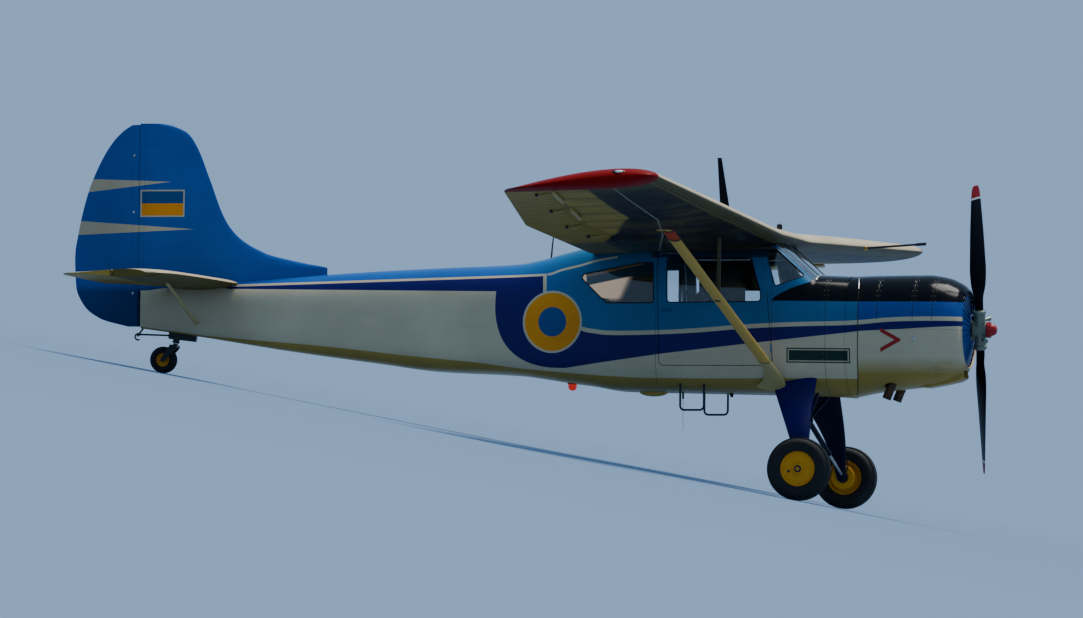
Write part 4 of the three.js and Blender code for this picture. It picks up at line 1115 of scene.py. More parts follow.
def make_stage():
    """A pale round floor that fades into the same pale surroundings, and a soft light."""
    mesh = bpy.data.meshes.new("floor")
    sides = 96
    rim = [(x, y, 0) for x, y in around(sides, FLOOR_R)]
    mesh.from_pydata(rim, [], [tuple(range(sides))])
    floor = bpy.data.objects.new("floor", mesh)
    bpy.context.scene.collection.objects.link(floor)
    finish = bpy.data.materials.new("floor_pale")
    finish.use_nodes = True
    tree = finish.node_tree
    tree.nodes.remove(tree.nodes["Principled BSDF"])
    # Half of its light comes through, so it is as bright on both sides as what is round it.
    pale = [s / (s + KEY * c / math.pi / 2) for s, c in zip(SKY, KEY_COLOUR)]
    sides_alike = tree.nodes.new("ShaderNodeMixShader")
    for k, kind in enumerate(("ShaderNodeBsdfDiffuse", "ShaderNodeBsdfTranslucent")):
        half = tree.nodes.new(kind)
        half.inputs["Color"].default_value = (*pale, 1)
        tree.links.new(half.outputs[0], sides_alike.inputs[1 + k])
    coords = tree.nodes.new("ShaderNodeTexCoord")
    length = tree.nodes.new("ShaderNodeVectorMath")
    length.operation = "LENGTH"
    tree.links.new(coords.outputs["Object"], length.inputs[0])
    fade = Field(tree, length.outputs["Value"])
    solid = ((FLOOR_FADE[1] - fade) / (FLOOR_FADE[1] - FLOOR_FADE[0])).math("ADD", 0.0, clamp=True)
    faded = tree.nodes.new("ShaderNodeMixShader")
    tree.links.new(solid.socket, faded.inputs[0])
    tree.links.new(tree.nodes.new("ShaderNodeBsdfTransparent").outputs[0], faded.inputs[1])
    tree.links.new(sides_alike.outputs[0], faded.inputs[2])
    tree.links.new(faded.outputs[0], tree.nodes["Material Output"].inputs["Surface"])
    mesh.materials.append(finish)

    world = bpy.data.worlds.new("pale")
    world.use_nodes = True
    world.node_tree.nodes["Background"].inputs["Color"].default_value = (*SKY, 1)
    bpy.context.scene.world = world
    data = bpy.data.lights.new("overhead", "SUN")
    data.energy = KEY
    data.color = KEY_COLOUR
    data.angle = KEY_SPREAD
    lamp = bpy.data.objects.new("overhead", data)
    lamp.rotation_mode = "QUATERNION"
    lamp.rotation_quaternion = Vector(KEY_FROM).to_track_quat("Z", "Y")
    bpy.context.scene.collection.objects.link(lamp)


make_camera()
make_stage()


# Cabin shell: one tube with its windows, doors and windscreen cut
def stations(*spans):
    """Places along X, from (start, end, steps) spans that join."""
    return np.unique(np.concatenate([np.linspace(a, b, n + 1) for a, b, n in spans]))[::-1]


CABIN_X = stations((0.335, 0.020, 12), (0.020, -0.330, 18), (-0.330, -1.9, 60), (-1.9, -2.4, 24))
CABIN_COUNT = 168
DOOR_CORNER = 0.045
WINDOW_CORNER = 0.035
FRONT_CORNER = 0.022
REAR_CORNER = 0.034


def hull_shell(hull, places, inset, wall, count):
    outer = [hull.ring(x, inset, count) for x in places]
    inner = [hull.ring(x, inset + wall, count) for x in places]
    return shell(outer, inner)


def make_cabin():
    cabin = mesh_object("cabin_shell", hull_shell(BODY, CABIN_X, 0.0, SKIN, CABIN_COUNT))
    door_part = part_of(cabin)
    cut(
        cabin,
        ("DIFFERENCE", prism(rounded(grown(DOOR, DOOR_GAP), DOOR_CORNER + 0.005), -1, 1)),
        ("DIFFERENCE", prism(rounded(FRONT_WINDOW, FRONT_CORNER), -1, 1)),
        ("DIFFERENCE", prism(rounded(REAR_WINDOW, REAR_CORNER), -1, 1)),
        ("DIFFERENCE", prism(WINDSCREEN, -1, 1)),
    )
    stands_for = ["cabin_side_left", "cabin_side_right", "cabin_floor", "nose_deck"]
    finished(cabin, "airframe", FUSELAGE, stands_for)
    leaf = carved(
        door_part,
        ("INTERSECT", prism(rounded(DOOR, DOOR_CORNER), 0.3, 1)),
        ("DIFFERENCE", prism(rounded(DOOR_WINDOW, WINDOW_CORNER), 0.2, 1)),
    )
    pair("door_leaf", leaf, FUSELAGE, "{}_door", ["door_{}"])


def pane(outline, radius=0.0):
    """A curved pane in the skin: a window on the left, or with no corner radius one right across."""
    places = stations((0.335, 0.02, 4), (0.02, -0.33, 8), (-0.33, -2.4, 40))
    inside = prism(rounded(outline, radius), 0.2, 1) if radius else prism(outline, -1, 1)
    return carved(hull_shell(BODY, places, 0.003, 0.006, 96), ("INTERSECT", inside))


def rim(outline, inset, count=200):
    """Points along a side outline, on the skin."""
    points = np.array(outline + outline[:1])
    run = np.concatenate([[0], np.cumsum(np.hypot(*np.diff(points, axis=0).T))])
    even = np.linspace(0, run[-1], count, endpoint=False)
    x, z = np.interp(even, run, points[:, 0]), np.interp(even, run, points[:, 1])
    return [(a, BODY.half_width(a, b, inset), b) for a, b in zip(x, z)]


def loop_tube(path, radius, sides=8):
    """A closed ring of tube."""
    path = np.asarray(path, float)
    tangent = np.roll(path, -1, 0) - np.roll(path, 1, 0)
    tangent /= np.linalg.norm(tangent, axis=1)[:, None]
    rings = []
    for p, t in zip(path, tangent):
        side = np.cross(t, (0, 1, 0))
        side /= np.linalg.norm(side)
        rings.append(oval(p, radius * side, radius * np.cross(t, side), sides))
    points, faces = loft(rings, (False, False))
    last = (len(rings) - 1) * sides
    faces += [(last + i, last + (i + 1) % sides, (i + 1) % sides, i) for i in range(sides)]
    return points, faces


def screen_foot(x):
    """The height of the windscreen's side edge."""
    (x0, z0), (x1, z1) = WINDSCREEN[0], WINDSCREEN[3]
    return z0 + (x - x0) * (z1 - z0) / (x1 - x0)


def make_windows():
    windows = (
        ("front", FRONT_WINDOW, FRONT_CORNER, None),
        ("rear", REAR_WINDOW, REAR_CORNER, None),
        ("door", DOOR_WINDOW, WINDOW_CORNER, "{}_door"),
    )
    for name, outline, radius, body in windows:
        pair(f"{name}_pane", pane(outline, radius), GLASS, body, [name + "_window_{}"])
    piece("windscreen_pane", pane(WINDSCREEN), "airframe", GLASS, ["windshield"])
    for name, outline, radius, body in windows:
        seal = loop_tube(rim(rounded(outline, radius), 0.001), 0.0055)
        pair(f"{name}_seal", seal, SEAL, body)
    edges = []
    for sign in (1, -1):
        edge = [
            (x, sign * BODY.half_width(x, screen_foot(x)), screen_foot(x))
            for x in np.linspace(SCREEN_FRONT, SCREEN_REAR, 24)
        ]
        edges.append(tube(edge, 0.007, 8))
    foot = BODY.ring(SCREEN_FRONT, 0.0, CABIN_COUNT)
    foot = foot[foot[:, 2] > screen_foot(SCREEN_FRONT)]
    foot = foot[np.argsort(foot[:, 1])]
    edges.append(tube(foot, 0.009, 8))
    piece("windscreen_frame", merged(*edges), "airframe", STEEL)
    posts = []
    for y in (-0.19, 0.19):
        post = []
        for x in np.linspace(SCREEN_FRONT, SCREEN_REAR + 0.005, 14):
            ring = BODY.ring(x, 0.004, CABIN_COUNT)
            upper = ring[ring[:, 2] > 2.0]
            height = upper[np.argmin(abs(upper[:, 1] - y))][2]
            post.append((x, y, height))
        posts.append(tube(post, 0.006, 8))
    piece("windscreen_posts", merged(*posts), "airframe", SEAL)


def make_tail_cone():
    places = stations((CABIN_REAR_X - 0.0003, -2.9, 26), (-2.9, STERN_X, 120))
    rings = [BODY.ring(x, 0.0, 136) for x in places]
    piece("tail_cone_skin", loft(rings), "airframe", FUSELAGE, ["tail_cone"], 40)


make_cabin()
make_windows()
make_tail_cone()


# Cowling
COWL_WALL = 0.010
COWL_COUNT = 168
LIP, LIP_STEPS = 0.012, 8
COWL_SPLIT = THRUST_Z - 0.020
INTAKE = [
    (0.960, 1.112), (1.060, 1.250), (1.396, 1.272), (1.410, 1.200), (1.352, 1.166), (1.249, 1.142),
    (1.058, 1.106),
]
INTAKE_MOUTH = [(1.300, 1.262), (1.430, 1.270), (1.430, 1.204), (1.300, 1.186)]
EXHAUST = {"x": 0.752, "y": 0.250, "radius": 0.042, "top": 1.200, "end_x": 0.690, "end_z": 0.990}


def make_cowling():
    rear, nose = COWL_ROWS[0][0], COWL_ROWS[-1][0]
    places = np.unique(np.concatenate([np.linspace(rear, 1.2, 40), np.linspace(1.2, nose, 30)]))
    outer = [COWL.ring(x, 0.0, COWL_COUNT) for x in places]
    # The nose's edge, rolled inwards
    for t in np.linspace(0, math.pi, LIP_STEPS + 1)[1:]:
        inset = LIP * (1 - math.cos(t))
        bulge = math.sin(inset / LIP / 2 * math.pi) * LIP
        outer.append(COWL.ring(nose, inset, COWL_COUNT) + (bulge, 0, 0))
    lip_x = nose - 0.02
    inner = [COWL.ring(min(x, lip_x), COWL_WALL, COWL_COUNT) for x in places]
    inner += [COWL.ring(lip_x + 0.001 * (k + 1), LIP * 2, COWL_COUNT) for k in range(LIP_STEPS)]
    tube_part = shell(outer, inner)
    big = 3.0
    bottom = mesh_object("cowl_lower", tube_part)
    chin = carved(prism(INTAKE, -0.13, 0.13), bevel=(0.018, 4))
    pipe_holes = []
    for s in (1, -1):
        top = (EXHAUST["x"] + 0.03, s * EXHAUST["y"], EXHAUST["top"] + 0.1)
        foot = (EXHAUST["end_x"], s * EXHAUST["y"], EXHAUST["end_z"])
        pipe_holes.append(("DIFFERENCE", bar(top, foot, EXHAUST["radius"] + 0.012, 24)))
    cut(
        bottom,
        ("UNION", chin),
        ("DIFFERENCE", loft([COWL.ring(x, COWL_WALL, 96) for x in np.linspace(0.40, 1.36, 30)])),
        ("DIFFERENCE", prism(INTAKE_MOUTH, -0.108, 0.108)),
        *pipe_holes,
        ("DIFFERENCE", slab(-big, big, -big, big, COWL_SPLIT, big)),
    )
    finished(bottom, "airframe", COWLING, ["cowling_lower"])
    upper = mesh_object("cowl_upper", tube_part)
    cut(upper, ("INTERSECT", slab(-big, big, -big, big, COWL_SPLIT + 0.0015, big)))
    finished(upper, "airframe", COWLING, ["cowling_upper"])
    strip = []
    for s in (1, -1):
        y = s * (COWL.half_width(1.0, 1.546) + 0.003)
        strip.append(ball((1.0, y, 1.546), (0.016, 0.006, 0.020), 6, 12))
    band = []
    for z in np.linspace(2.02, 2.13, 10):
        y = COWL.half_width(0.45, z)
        band.append((cowl_edge(y), y + 0.001, z))
    rear_edge = tube(band, 0.004, 8)
    strip += [rear_edge, mirrored(rear_edge)]
    piece("cowl_fittings", merged(*strip), "airframe", STEEL)
    blisters = []
    for s in (1, -1):
        y = s * (COWL.half_width(1.235, 1.300) - 0.014)
        blisters.append(ball((1.235, y, 1.298), (0.088, 0.034, 0.048), 10, 24))
    piece("cowl_blisters", merged(*blisters), "airframe", COWLING)


def make_exhaust():
    parts = []
    for s in (1, -1):
        a = (EXHAUST["x"] + 0.02, s * EXHAUST["y"], EXHAUST["top"])
        b = (EXHAUST["end_x"], s * EXHAUST["y"], EXHAUST["end_z"])
        direction = Vector(b) - Vector(a)
        turn = Matrix.Translation(a) @ direction.to_track_quat("Z", "Y").to_matrix().to_4x4()
        length = direction.length
        r = EXHAUST["radius"]
        profile = [(0, r), (length - 0.004, r), (length, r - 0.002)]
        profile += [(length - 0.004, r - 0.004), (0.02, r - 0.004), (0, r)]
        parts.append(turned(lathe(profile, (0, 0, 0), "z", 32), turn))
        clamp = length * 0.45
        band = [(clamp + a, r + b) for a, b in ((0, 0.001), (0.012, 0.004), (0.024, 0.001), (0, 0.001))]
        parts.append(turned(lathe(band, (0, 0, 0), "z", 32), turn))
    across = np.linspace(-EXHAUST["y"], EXHAUST["y"], 21)
    cross = [(EXHAUST["x"] + 0.02, y, EXHAUST["top"] + 0.03 * math.cos(y * 6)) for y in across]
    parts.append(tube(cross, EXHAUST["radius"], 24))
    piece("exhaust_pipes", merged(*parts), "airframe", EXHAUST_METAL, ["exhaust_stacks"], 40)


def make_shutters():
    """A ring of overlapping cooling shutters with a scalloped rim, round the engine's nose case."""
    blades = 27
    parts = []
    width = 2 * math.pi / blades * 0.60
    inner_r, outer_r = 0.150, 0.368
    for a in turns(blades):
        rows = []
        for t in np.linspace(0, 1, 5):
            r = inner_r + (outer_r - inner_r) * t
            x = 1.452 - 0.055 * t - 0.004 * math.sin(t * math.pi)
            row = []
            for side, lift in ((-1, 0.0), (-0.4, 0.003), (0.4, 0.006), (1, 0.009)):
                turn = a + side * width
                edge = r - (0.010 if t == 1 and abs(side) == 1 else 0)
                row.append((x + lift, edge * math.cos(turn), edge * math.sin(turn) + THRUST_Z))
            rows.append(row)
        top = np.array(rows)
        under = top - (0.0018, 0, 0)
        rings = [np.concatenate([top[i], under[i][::-1]]) for i in range(len(top))]
        parts.append(loft(rings))
    profile = [(1.444, 0.158), (1.462, 0.150), (1.462, 0.134), (1.446, 0.134), (1.444, 0.158)]
    parts.append(lathe(profile, (0, 0, THRUST_Z), "x", 64))
    rim_profile = [(1.384, 0.352), (1.392, 0.362), (1.398, 0.356), (1.388, 0.344), (1.384, 0.352)]
    parts.append(lathe(rim_profile, (0, 0, THRUST_Z), "x", 96))
    whole = merged(*parts)
    piece("cooling_shutters", whole, "airframe", SHUTTER_PAINT, ["shutter_ring"], 25)
    places = around(blades, 0.340, math.pi / blades)
    pins = [ball((1.409, y, z + THRUST_Z), (0.006, 0.006, 0.006), 4, 8) for y, z in places]
    piece("shutter_pins", merged(*pins), "airframe", STEEL)


ENGINE_ROWS = [
    # x, radius, depth between the lobes
    (0.3335, 0.185, 0), (0.86, 0.188, 0), (0.862, 0.400, 0.12), (0.90, 0.418, 0.13), (1.24, 0.418, 0.13),
    (1.278, 0.395, 0.12), (1.30, 0.26, 0.03), (1.345, 0.165, 0), (1.40, 0.142, 0), (1.440, 0.122, 0),
    (1.4515, 0.085, 0),
]


def make_engine():
    """A plain block in nine lobes, with the nose case that shows in the shutters' middle."""
    sides = 216
    a = turns(sides)
    lobes = 0.5 + 0.5 * np.cos(9 * (a - math.pi / 2))
    rings = []
    for x, radius, depth in ENGINE_ROWS:
        r = radius - depth * (1 - lobes)
        rings.append(np.column_stack([np.full(sides, x), r * np.cos(a), r * np.sin(a) + THRUST_Z]))
    piece("engine_block", loft(rings), "airframe", ENGINE_METAL, ["engine"], 30)


make_cowling()
make_exhaust()
make_shutters()
make_engine()


# Propeller
BLADE_ROWS = [
    # radius, chord, thickness, pitch angle
    (0.150, 0.080, 0.080, 50),
    (0.240, 0.082, 0.080, 49),
    (0.300, 0.094, 0.070, 48),
    (0.430, 0.170, 0.042, 42),
    (0.620, 0.214, 0.030, 34),
    (0.880, 0.212, 0.022, 27),
    (1.130, 0.190, 0.016, 22),
    (1.300, 0.160, 0.011, 19),
    (1.350, 0.128, 0.009, 18),
    (1.370, 0.086, 0.007, 18),
    (1.3745, 0.040, 0.005, 18),
]
SET_BACK = 0.0008  # keeps the round blade inside the faceted one


def blade():
    table = np.array(BLADE_ROWS)
    columns = [smooth_through(table[:, 0], table[:, k]) for k in (1, 2, 3)]
    places = np.concatenate([np.linspace(0.15, 1.3, 60), np.linspace(1.3, 1.3745, 16)[1:]])
    rings = []
    for r in places:
        chord, thick, pitch = (float(c(r)) for c in columns)
        round_root = min(1.0, max(0.0, (0.36 - r) / 0.12))
        ring = []
        for k in range(40):
            t = k / 40 * 2 * math.pi
            a = math.cos(t) / 2
            flat = math.sin(t) * (1 - 0.35 * math.cos(t)) * (0.5 if math.sin(t) > 0 else 0.28)
            b = flat * (1 - round_root) + 0.5 * math.sin(t) * round_root
            c, s = math.cos(math.radians(pitch)), math.sin(math.radians(pitch))
            ring.append((a * chord * s - b * thick * c - SET_BACK, a * chord * c + b * thick * s, r))
        rings.append(ring)
    return loft(rings)


LEAN = Matrix.Translation((PROP_X, 0, THRUST_Z)) @ Matrix.Rotation(PROP_LEAN, 4, "X")
FLIP = Matrix.Rotation(math.pi, 4, "X")
# (x, radius) profiles of the hub's barrel and of the dome ahead of it
BARREL = [
    (1.4635, 0.0), (1.4635, 0.078), (1.476, 0.094), (1.490, 0.094), (1.498, 0.066), (1.580, 0.064),
    (1.584, 0.074), (1.596, 0.074), (1.598, 0.0),
]
DOME = [
    (1.5985, 0.0), (1.5985, 0.070), (1.606, 0.076), (1.622, 0.076), (1.628, 0.066), (1.640, 0.066),
    (1.646, 0.058), (1.672, 0.050), (1.688, 0.036), (1.695, 0.016), (1.697, 0.0),
]


def make_propeller():
    one = blade()
    for name, turn in (("a", LEAN), ("b", LEAN @ FLIP)):
        blade_part, stands_for = turned(one, turn), [f"propeller_blade_{name}"]
        piece(f"blade_{name}", blade_part, "propeller", PROP_PAINT, stands_for, 50)
    socket = [(0.190, 0.0), (0.190, 0.050), (0.182, 0.057), (0.176, 0.062), (0.152, 0.062), (0.146, 0.055)]
    socket.append((0.06, 0.055))
    socket = [(-a, r) for a, r in socket] + socket[::-1]
    parts = [turned(lathe(socket, (0, 0, 0), "z", 40), LEAN), lathe(BARREL, (0, 0, THRUST_Z), "x", 48)]
    for y, z in around(8, 0.078):
        parts.append(bar((1.490, y, THRUST_Z + z), (1.4955, y, THRUST_Z + z), 0.008, 6))
    for s in (1, -1):
        arm = [(0.035, s * 0.030, s * 0.09), (0.060, s * 0.085, s * 0.09), (0.075, s * 0.112, s * 0.09)]
        parts.append(turned(tube(arm, 0.014, 10, 0.024), LEAN))
    piece("prop_hub", merged(*parts), "propeller", PROP_HUB, ["propeller_hub"], 35)
    parts = [lathe(DOME, (0, 0, THRUST_Z), "x", 48)]
    for y, z in around(12, 0.069):
        parts.append(bar((1.600, y, THRUST_Z + z), (1.634, y, THRUST_Z + z), 0.0075, 8))
    piece("prop_dome", merged(*parts), "propeller", DOME_RED, (), 35)


make_propeller()


# Wing. Chord shares run back from the leading edge, and heights are in chords.
DIHEDRAL, INCIDENCE = math.radians(2.25), math.radians(5.2)
THICKNESS, CAMBER, HINGE = 0.125, 0.02, 0.7
NOSE_R, NOSE_GAP = 0.031, 0.005
SLAT_TOP, SLAT_BOTTOM = 0.13, 0.035
COVE_LIP = 0.684


def half_thick(f):
    return (
        5 * THICKNESS * (0.2969 * f**0.5 - 0.126 * f - 0.3516 * f**2 + 0.2843 * f**3 - 0.1015 * f**4)
        + 0.0015 * f
    )


def camber(f):
    return 4 * CAMBER * f * (1 - f)


def skin_top(f):
    return (f, camber(f) + half_thick(f))


def skin_low(f):
    return (f, camber(f) - half_thick(f))


def shares(a, b, steps, ease=False):
    """Chord shares from a to b, closer together near a when eased."""
    t = np.linspace(0, 1, steps + 1)
    return a + (b - a) * (t**2 if ease else t)


def chord_at(y):
    if y < KINK_Y:
        return CHORD
    return CHORD - (CHORD - TIP_CHORD) * (y - KINK_Y) / (TIP_Y - KINK_Y)


def wing_point(y, point, chord=None, back=0.0):
    chord = chord_at(y) if chord is None else chord
    f, h = point
    c, s = math.cos(INCIDENCE), math.sin(INCIDENCE)
    return (
        WING_LEAD[0] - back - chord * (f * c - h * s),
        y,
        WING_LEAD[1] + (y - ROOT_Y) * math.tan(DIHEDRAL) + chord * (h * c - f * s),
    )


HINGE_AT = (HINGE, camber(HINGE))
SLAT_SECTION = (
    [skin_top(f) for f in shares(0, SLAT_TOP, 12, True)[::-1]]
    + [skin_low(f) for f in shares(0, SLAT_BOTTOM, 6, True)[1:]]
)
MAIN_SECTION = (
    [skin_low(f) for f in shares(SLAT_BOTTOM + 0.002, COVE_LIP, 20)]
    + arc(HINGE_AT, NOSE_R + NOSE_GAP, 245, 115, 10)
    + [skin_top(f) for f in shares(COVE_LIP, SLAT_TOP + 0.002, 20)]
)
FLAP_SECTION = (
    arc(HINGE_AT, NOSE_R, 70, 290, 16)
    + [skin_low(f) for f in shares(0.74, 1, 8)]
    + [skin_top(f) for f in shares(1, 0.74, 8)]
)
FULL_SECTION = [skin_top(f) for f in shares(0, 1, 26, True)[::-1]] + [
    skin_low(f) for f in shares(0, 1, 26, True)[1:]
]


def wing_rings(section, places):
    return [[wing_point(y, p) for p in section] for y in places]


def wing_tip():
    """The rounded end, drawn in until it closes."""
    rings = []
    for t in np.linspace(0, 1, 14):
        y = END_Y + 0.002 + (TIP_Y - END_Y - 0.003) * math.sin(t * math.pi / 2)
        flat = max(0.02, math.cos(t * math.pi / 2) ** 0.9)
        share = 1 - 0.14 * (1 - math.cos(t * math.pi / 2)) ** 1.2
        back = 0.09 * (1 - math.cos(t * math.pi / 2)) ** 1.2
        rings.append([wing_point(y, (f, h * flat), chord_at(y) * share, back) for f, h in FULL_SECTION])
    return loft(rings)


FLAP_SPAN = (0.700, 3.395)
AILERON_SPAN = (3.410, 6.095)
INNER_PLACES = np.linspace(ROOT_Y + 0.0003, KINK_Y, 16)
WING_PLACES = np.concatenate([INNER_PLACES, np.linspace(KINK_Y, END_Y + 0.002, 16)[1:]])
# (chord share, drop below the skin)
FAIRING_LINE = ((0.73, 0.002), (0.745, 0.014), (0.77, 0.020), (0.80, 0.012))
BALANCE_BAR = (0.682, 0.019)


def make_wings():
    main = merged(loft(wing_rings(MAIN_SECTION, WING_PLACES)), wing_tip())
    pair("wing_panel", main, WING, replaces=["wing_{}"], angle=40)
    slat = loft(wing_rings(SLAT_SECTION, WING_PLACES))
    pair("slat_skin", slat, WING, replaces=["slat_{}"], angle=40)
    flap = loft(wing_rings(FLAP_SECTION, np.linspace(*FLAP_SPAN, 12)))
    pair("flap_skin", flap, RIBBED, "{}_flap", ["flap_{}"], 40)
    aileron = loft(wing_rings(FLAP_SECTION, np.linspace(*AILERON_SPAN, 12)))
    pair("aileron_skin", aileron, RIBBED, "{}_aileron", ["aileron_{}"], 40)
    rings = []
    for y in np.linspace(-ROOT_Y, ROOT_Y, 13):
        rings.append([(x, y, z) for x, _, z in (wing_point(ROOT_Y, p) for p in FULL_SECTION)])
    centre = mesh_object("wing_centre", loft(rings))
    cut(centre, ("DIFFERENCE", loft([BODY.ring(x, SKIN / 2, 96) for x in np.linspace(-0.33, -2.4, 40)])))
    finished(centre, "airframe", WING, ["cabin_roof"], 40)


def wing_under(y, f, drop=0.0):
    """A point on the wing's underside."""
    x, _, z = wing_point(y, skin_low(f))
    return (x, y, z - drop)


def make_wing_fittings():
    """Hinge fairings with their pins and the ailerons' balance bars, and a light on each tip."""
    for body, places in (("flap", (2.395, 3.303)), ("aileron", (4.626, 5.95))):
        fairings, pins = [], []
        for y in places:
            path = [wing_under(y, f, d) for f, d in FAIRING_LINE]
            fairings.append(tube(bent(path, 4), 0.016, 12, 0.007))
            pins.append(ball(wing_under(y, 0.80, 0.016), (0.022, 0.010, 0.014), 6, 12))
        pair(body + "_fairings", merged(*fairings), FAIRING_PAINT, "{}_" + body)
        pair(body + "_pins", merged(*pins), DARK_METAL, "{}_" + body)
    rods = []
    for y0, y1 in ((5.38, 6.05), (3.99, 4.70)):
        rods.append(bar(wing_under(y0, *BALANCE_BAR), wing_under(y1, *BALANCE_BAR), 0.018, 12))
    pair("aileron_rods", merged(*rods), CUFF_PAINT)
    lamp = ball((-0.575, 6.258, 2.768), (0.040, 0.034, 0.014), 10, 20)
    pair("position_lights", lamp, LAMP_WHITE)
    socket = ball((-0.582, 6.246, 2.762), (0.075, 0.034, 0.024), 10, 20)
    pair("light_sockets", socket, DARK_METAL)


STRUT_FOOT, STRUT_TOP = (-0.245, 0.560, 1.097), (-0.977, 2.750, 2.559)
STRUT = {"chord": 0.112, "thick": 0.048}
CUFF = {"foot": (-0.355, 0.560, 1.097), "chord": 0.285, "thick": 0.100, "share": 0.15}


def between(a, b, share):
    return tuple(p + (q - p) * share for p, q in zip(a, b))


def fairing_ring(at, chord, thick, sides=36):
    """A streamlined ring with its chord along X, blunt in front."""
    x, y, z = at
    ring = []
    for t in turns(sides):
        bulge = math.sin(t) * (1 + 0.28 * math.cos(t))
        ring.append((x + chord / 2 * math.cos(t), y - thick / 2 * bulge * 0.55, z + thick / 2 * bulge * 0.84))
    return ring


def make_struts():
    line = [between(STRUT_FOOT, STRUT_TOP, t) for t in np.linspace(0.03, 0.965, 40)]
    body = [fairing_ring(at, STRUT["chord"], STRUT["thick"]) for at in line]
    pair("lift_strut", loft(body), STRUT_PAINT, replaces=["wing_strut_{}"], angle=50)
    cuff = []
    for t in np.linspace(0, 1, 14):
        ease = 1 - (1 - t) ** 2.2
        at = between(CUFF["foot"], between(STRUT_FOOT, STRUT_TOP, CUFF["share"]), t)
        line = between(STRUT_FOOT, STRUT_TOP, CUFF["share"] * t)
        mid = tuple(a + (b - a) * ease for a, b in zip(at, line))
        chord = CUFF["chord"] + (STRUT["chord"] + 0.006 - CUFF["chord"]) * ease
        thick = CUFF["thick"] + (STRUT["thick"] + 0.006 - CUFF["thick"]) * ease
        cuff.append(fairing_ring(mid, chord, thick))
    pair("strut_cuff", loft(cuff), CUFF_PAINT, angle=50)

    def sleeve(shares_at, by):
        rings = [
            fairing_ring(between(STRUT_FOOT, STRUT_TOP, t), STRUT["chord"] + by, STRUT["thick"] + by)
            for t in shares_at
        ]
        return loft(rings)

    straps = [sleeve((a, a + 0.006), 0.005) for a in (0.146, 0.872, 0.925)]
    pair("strut_straps", merged(*straps), DARK_METAL, angle=50)
    pair("strut_patch", sleeve((0.878, 0.90, 0.925), 0.0012), SIGNAL_RED, angle=50)
    foot = between(STRUT_FOOT, STRUT_TOP, 0.52)
    jury = []
    for z in np.linspace(foot[2], 2.47, 8):
        jury.append(oval((foot[0], foot[1], z), (0.019, 0, 0), (0, 0.012, 0), 20))
    lug = ball(foot, (0.045, 0.030, 0.030), 8, 16)
    pair("jury_strut", merged(loft(jury), lug), JURY_PAINT, angle=50)
    lug = slab(-1.007, -0.907, 2.640, 2.700, 2.440, 2.520, 0.015)
    pair("strut_lug", lug, STRUT_PAINT)
    bolts = [bar((x, 2.636, 2.478), (x, 2.704, 2.478), 0.010, 10) for x in (-0.985, -0.930)]
    pair("strut_bolts", merged(*bolts), DARK_METAL)


make_wings()
make_wing_fittings()
make_struts()


# Tail
RUDDER_X = -6.675
ELEVATOR = (TAIL_HINGE_X, 2.090)
FIN_ROWS = [
    # height, leading edge, half thickness
    (1.990, -4.800, 0.060),
    (2.240, -4.800, 0.060),
    (2.285, -5.010, 0.058),
    (2.380, -5.400, 0.056),
    (2.552, -5.692, 0.055),
    (2.704, -5.809, 0.054),
    (3.086, -5.965, 0.050),
    (3.419, -6.105, 0.045),
    (3.543, -6.200, 0.042),
    (3.600, -6.310, 0.040),
    (3.624, -6.420, 0.039),
]
RUDDER_ROWS = [
    # height, trailing edge
    (1.682, -6.760),
    (1.751, -7.018),
    (1.880, -7.193),
    (2.066, -7.276),
    (2.361, -7.290),
    (2.561, -7.262),
    (2.760, -7.222),
    (2.971, -7.165),
    (3.229, -7.060),
    (3.440, -6.935),
    (3.560, -6.820),
    (3.612, -6.740),
]
TAILPLANE_ROWS = [
    # span, leading edge, trailing edge, half thickness
    (0.058, -5.650, -6.955, 0.062),
    (1.650, -5.790, -6.940, 0.050),
    (1.900, -5.845, -6.890, 0.044),
    (2.010, -5.925, -6.815, 0.040),
    (2.060, -6.050, -6.700, 0.036),
]
TAIL_NOSE, TAIL_GAP = 0.038, 0.008
ELEVATOR_NOSE = 0.030


def fixed_section(front, thick, nose, gap):
    """A fin's section ahead of its hinge: round nose, and a cove for the moving part's own nose."""
    made = []
    reach = front - (nose + gap) * 0.9
    for t in np.linspace(0.0, 1.0, 13):
        along = front - reach * t**1.6
        swell = thick * math.sin(min(1.0, t * 1.35) * math.pi / 2)
        drawn_in = (thick - nose - 0.003) * max(0.0, (t - 0.72) / 0.28) ** 1.5
        made.append((along, -(swell - drawn_in)))
    turn = np.radians(np.linspace(-55, 55, 9))
    cove = [((nose + gap) * math.cos(a), (nose + gap) * math.sin(a)) for a in turn]
    return made + cove + [(a, -b) for a, b in made[:0:-1]]


def moving_section(nose, rear, tail):
    """A rudder's section: round nose about the hinge, thin at the back."""
    made = [(nose * math.cos(a), nose * math.sin(a)) for a in np.radians(np.linspace(100, -100, 15))]
    wide = nose * 0.985
    side = [(-rear * t, -(wide + (tail - wide) * t**0.9)) for t in (0.12, 0.3, 0.5, 0.7, 0.88, 0.97)]
    back = [(-rear, -tail * 0.6), (-rear - 0.0005, 0.0), (-rear, tail * 0.6)]
    return made + side + back + [(a, -b) for a, b in side[::-1]]


def table_curves(rows):
    table = np.array(rows)
    return [smooth_through(table[:, 0], table[:, k]) for k in range(1, table.shape[1])]


def crowded(a, b, steps):
    """Places from a to b, closer together near b."""
    return a + (b - a) * np.sin(np.linspace(0, math.pi / 2, steps))


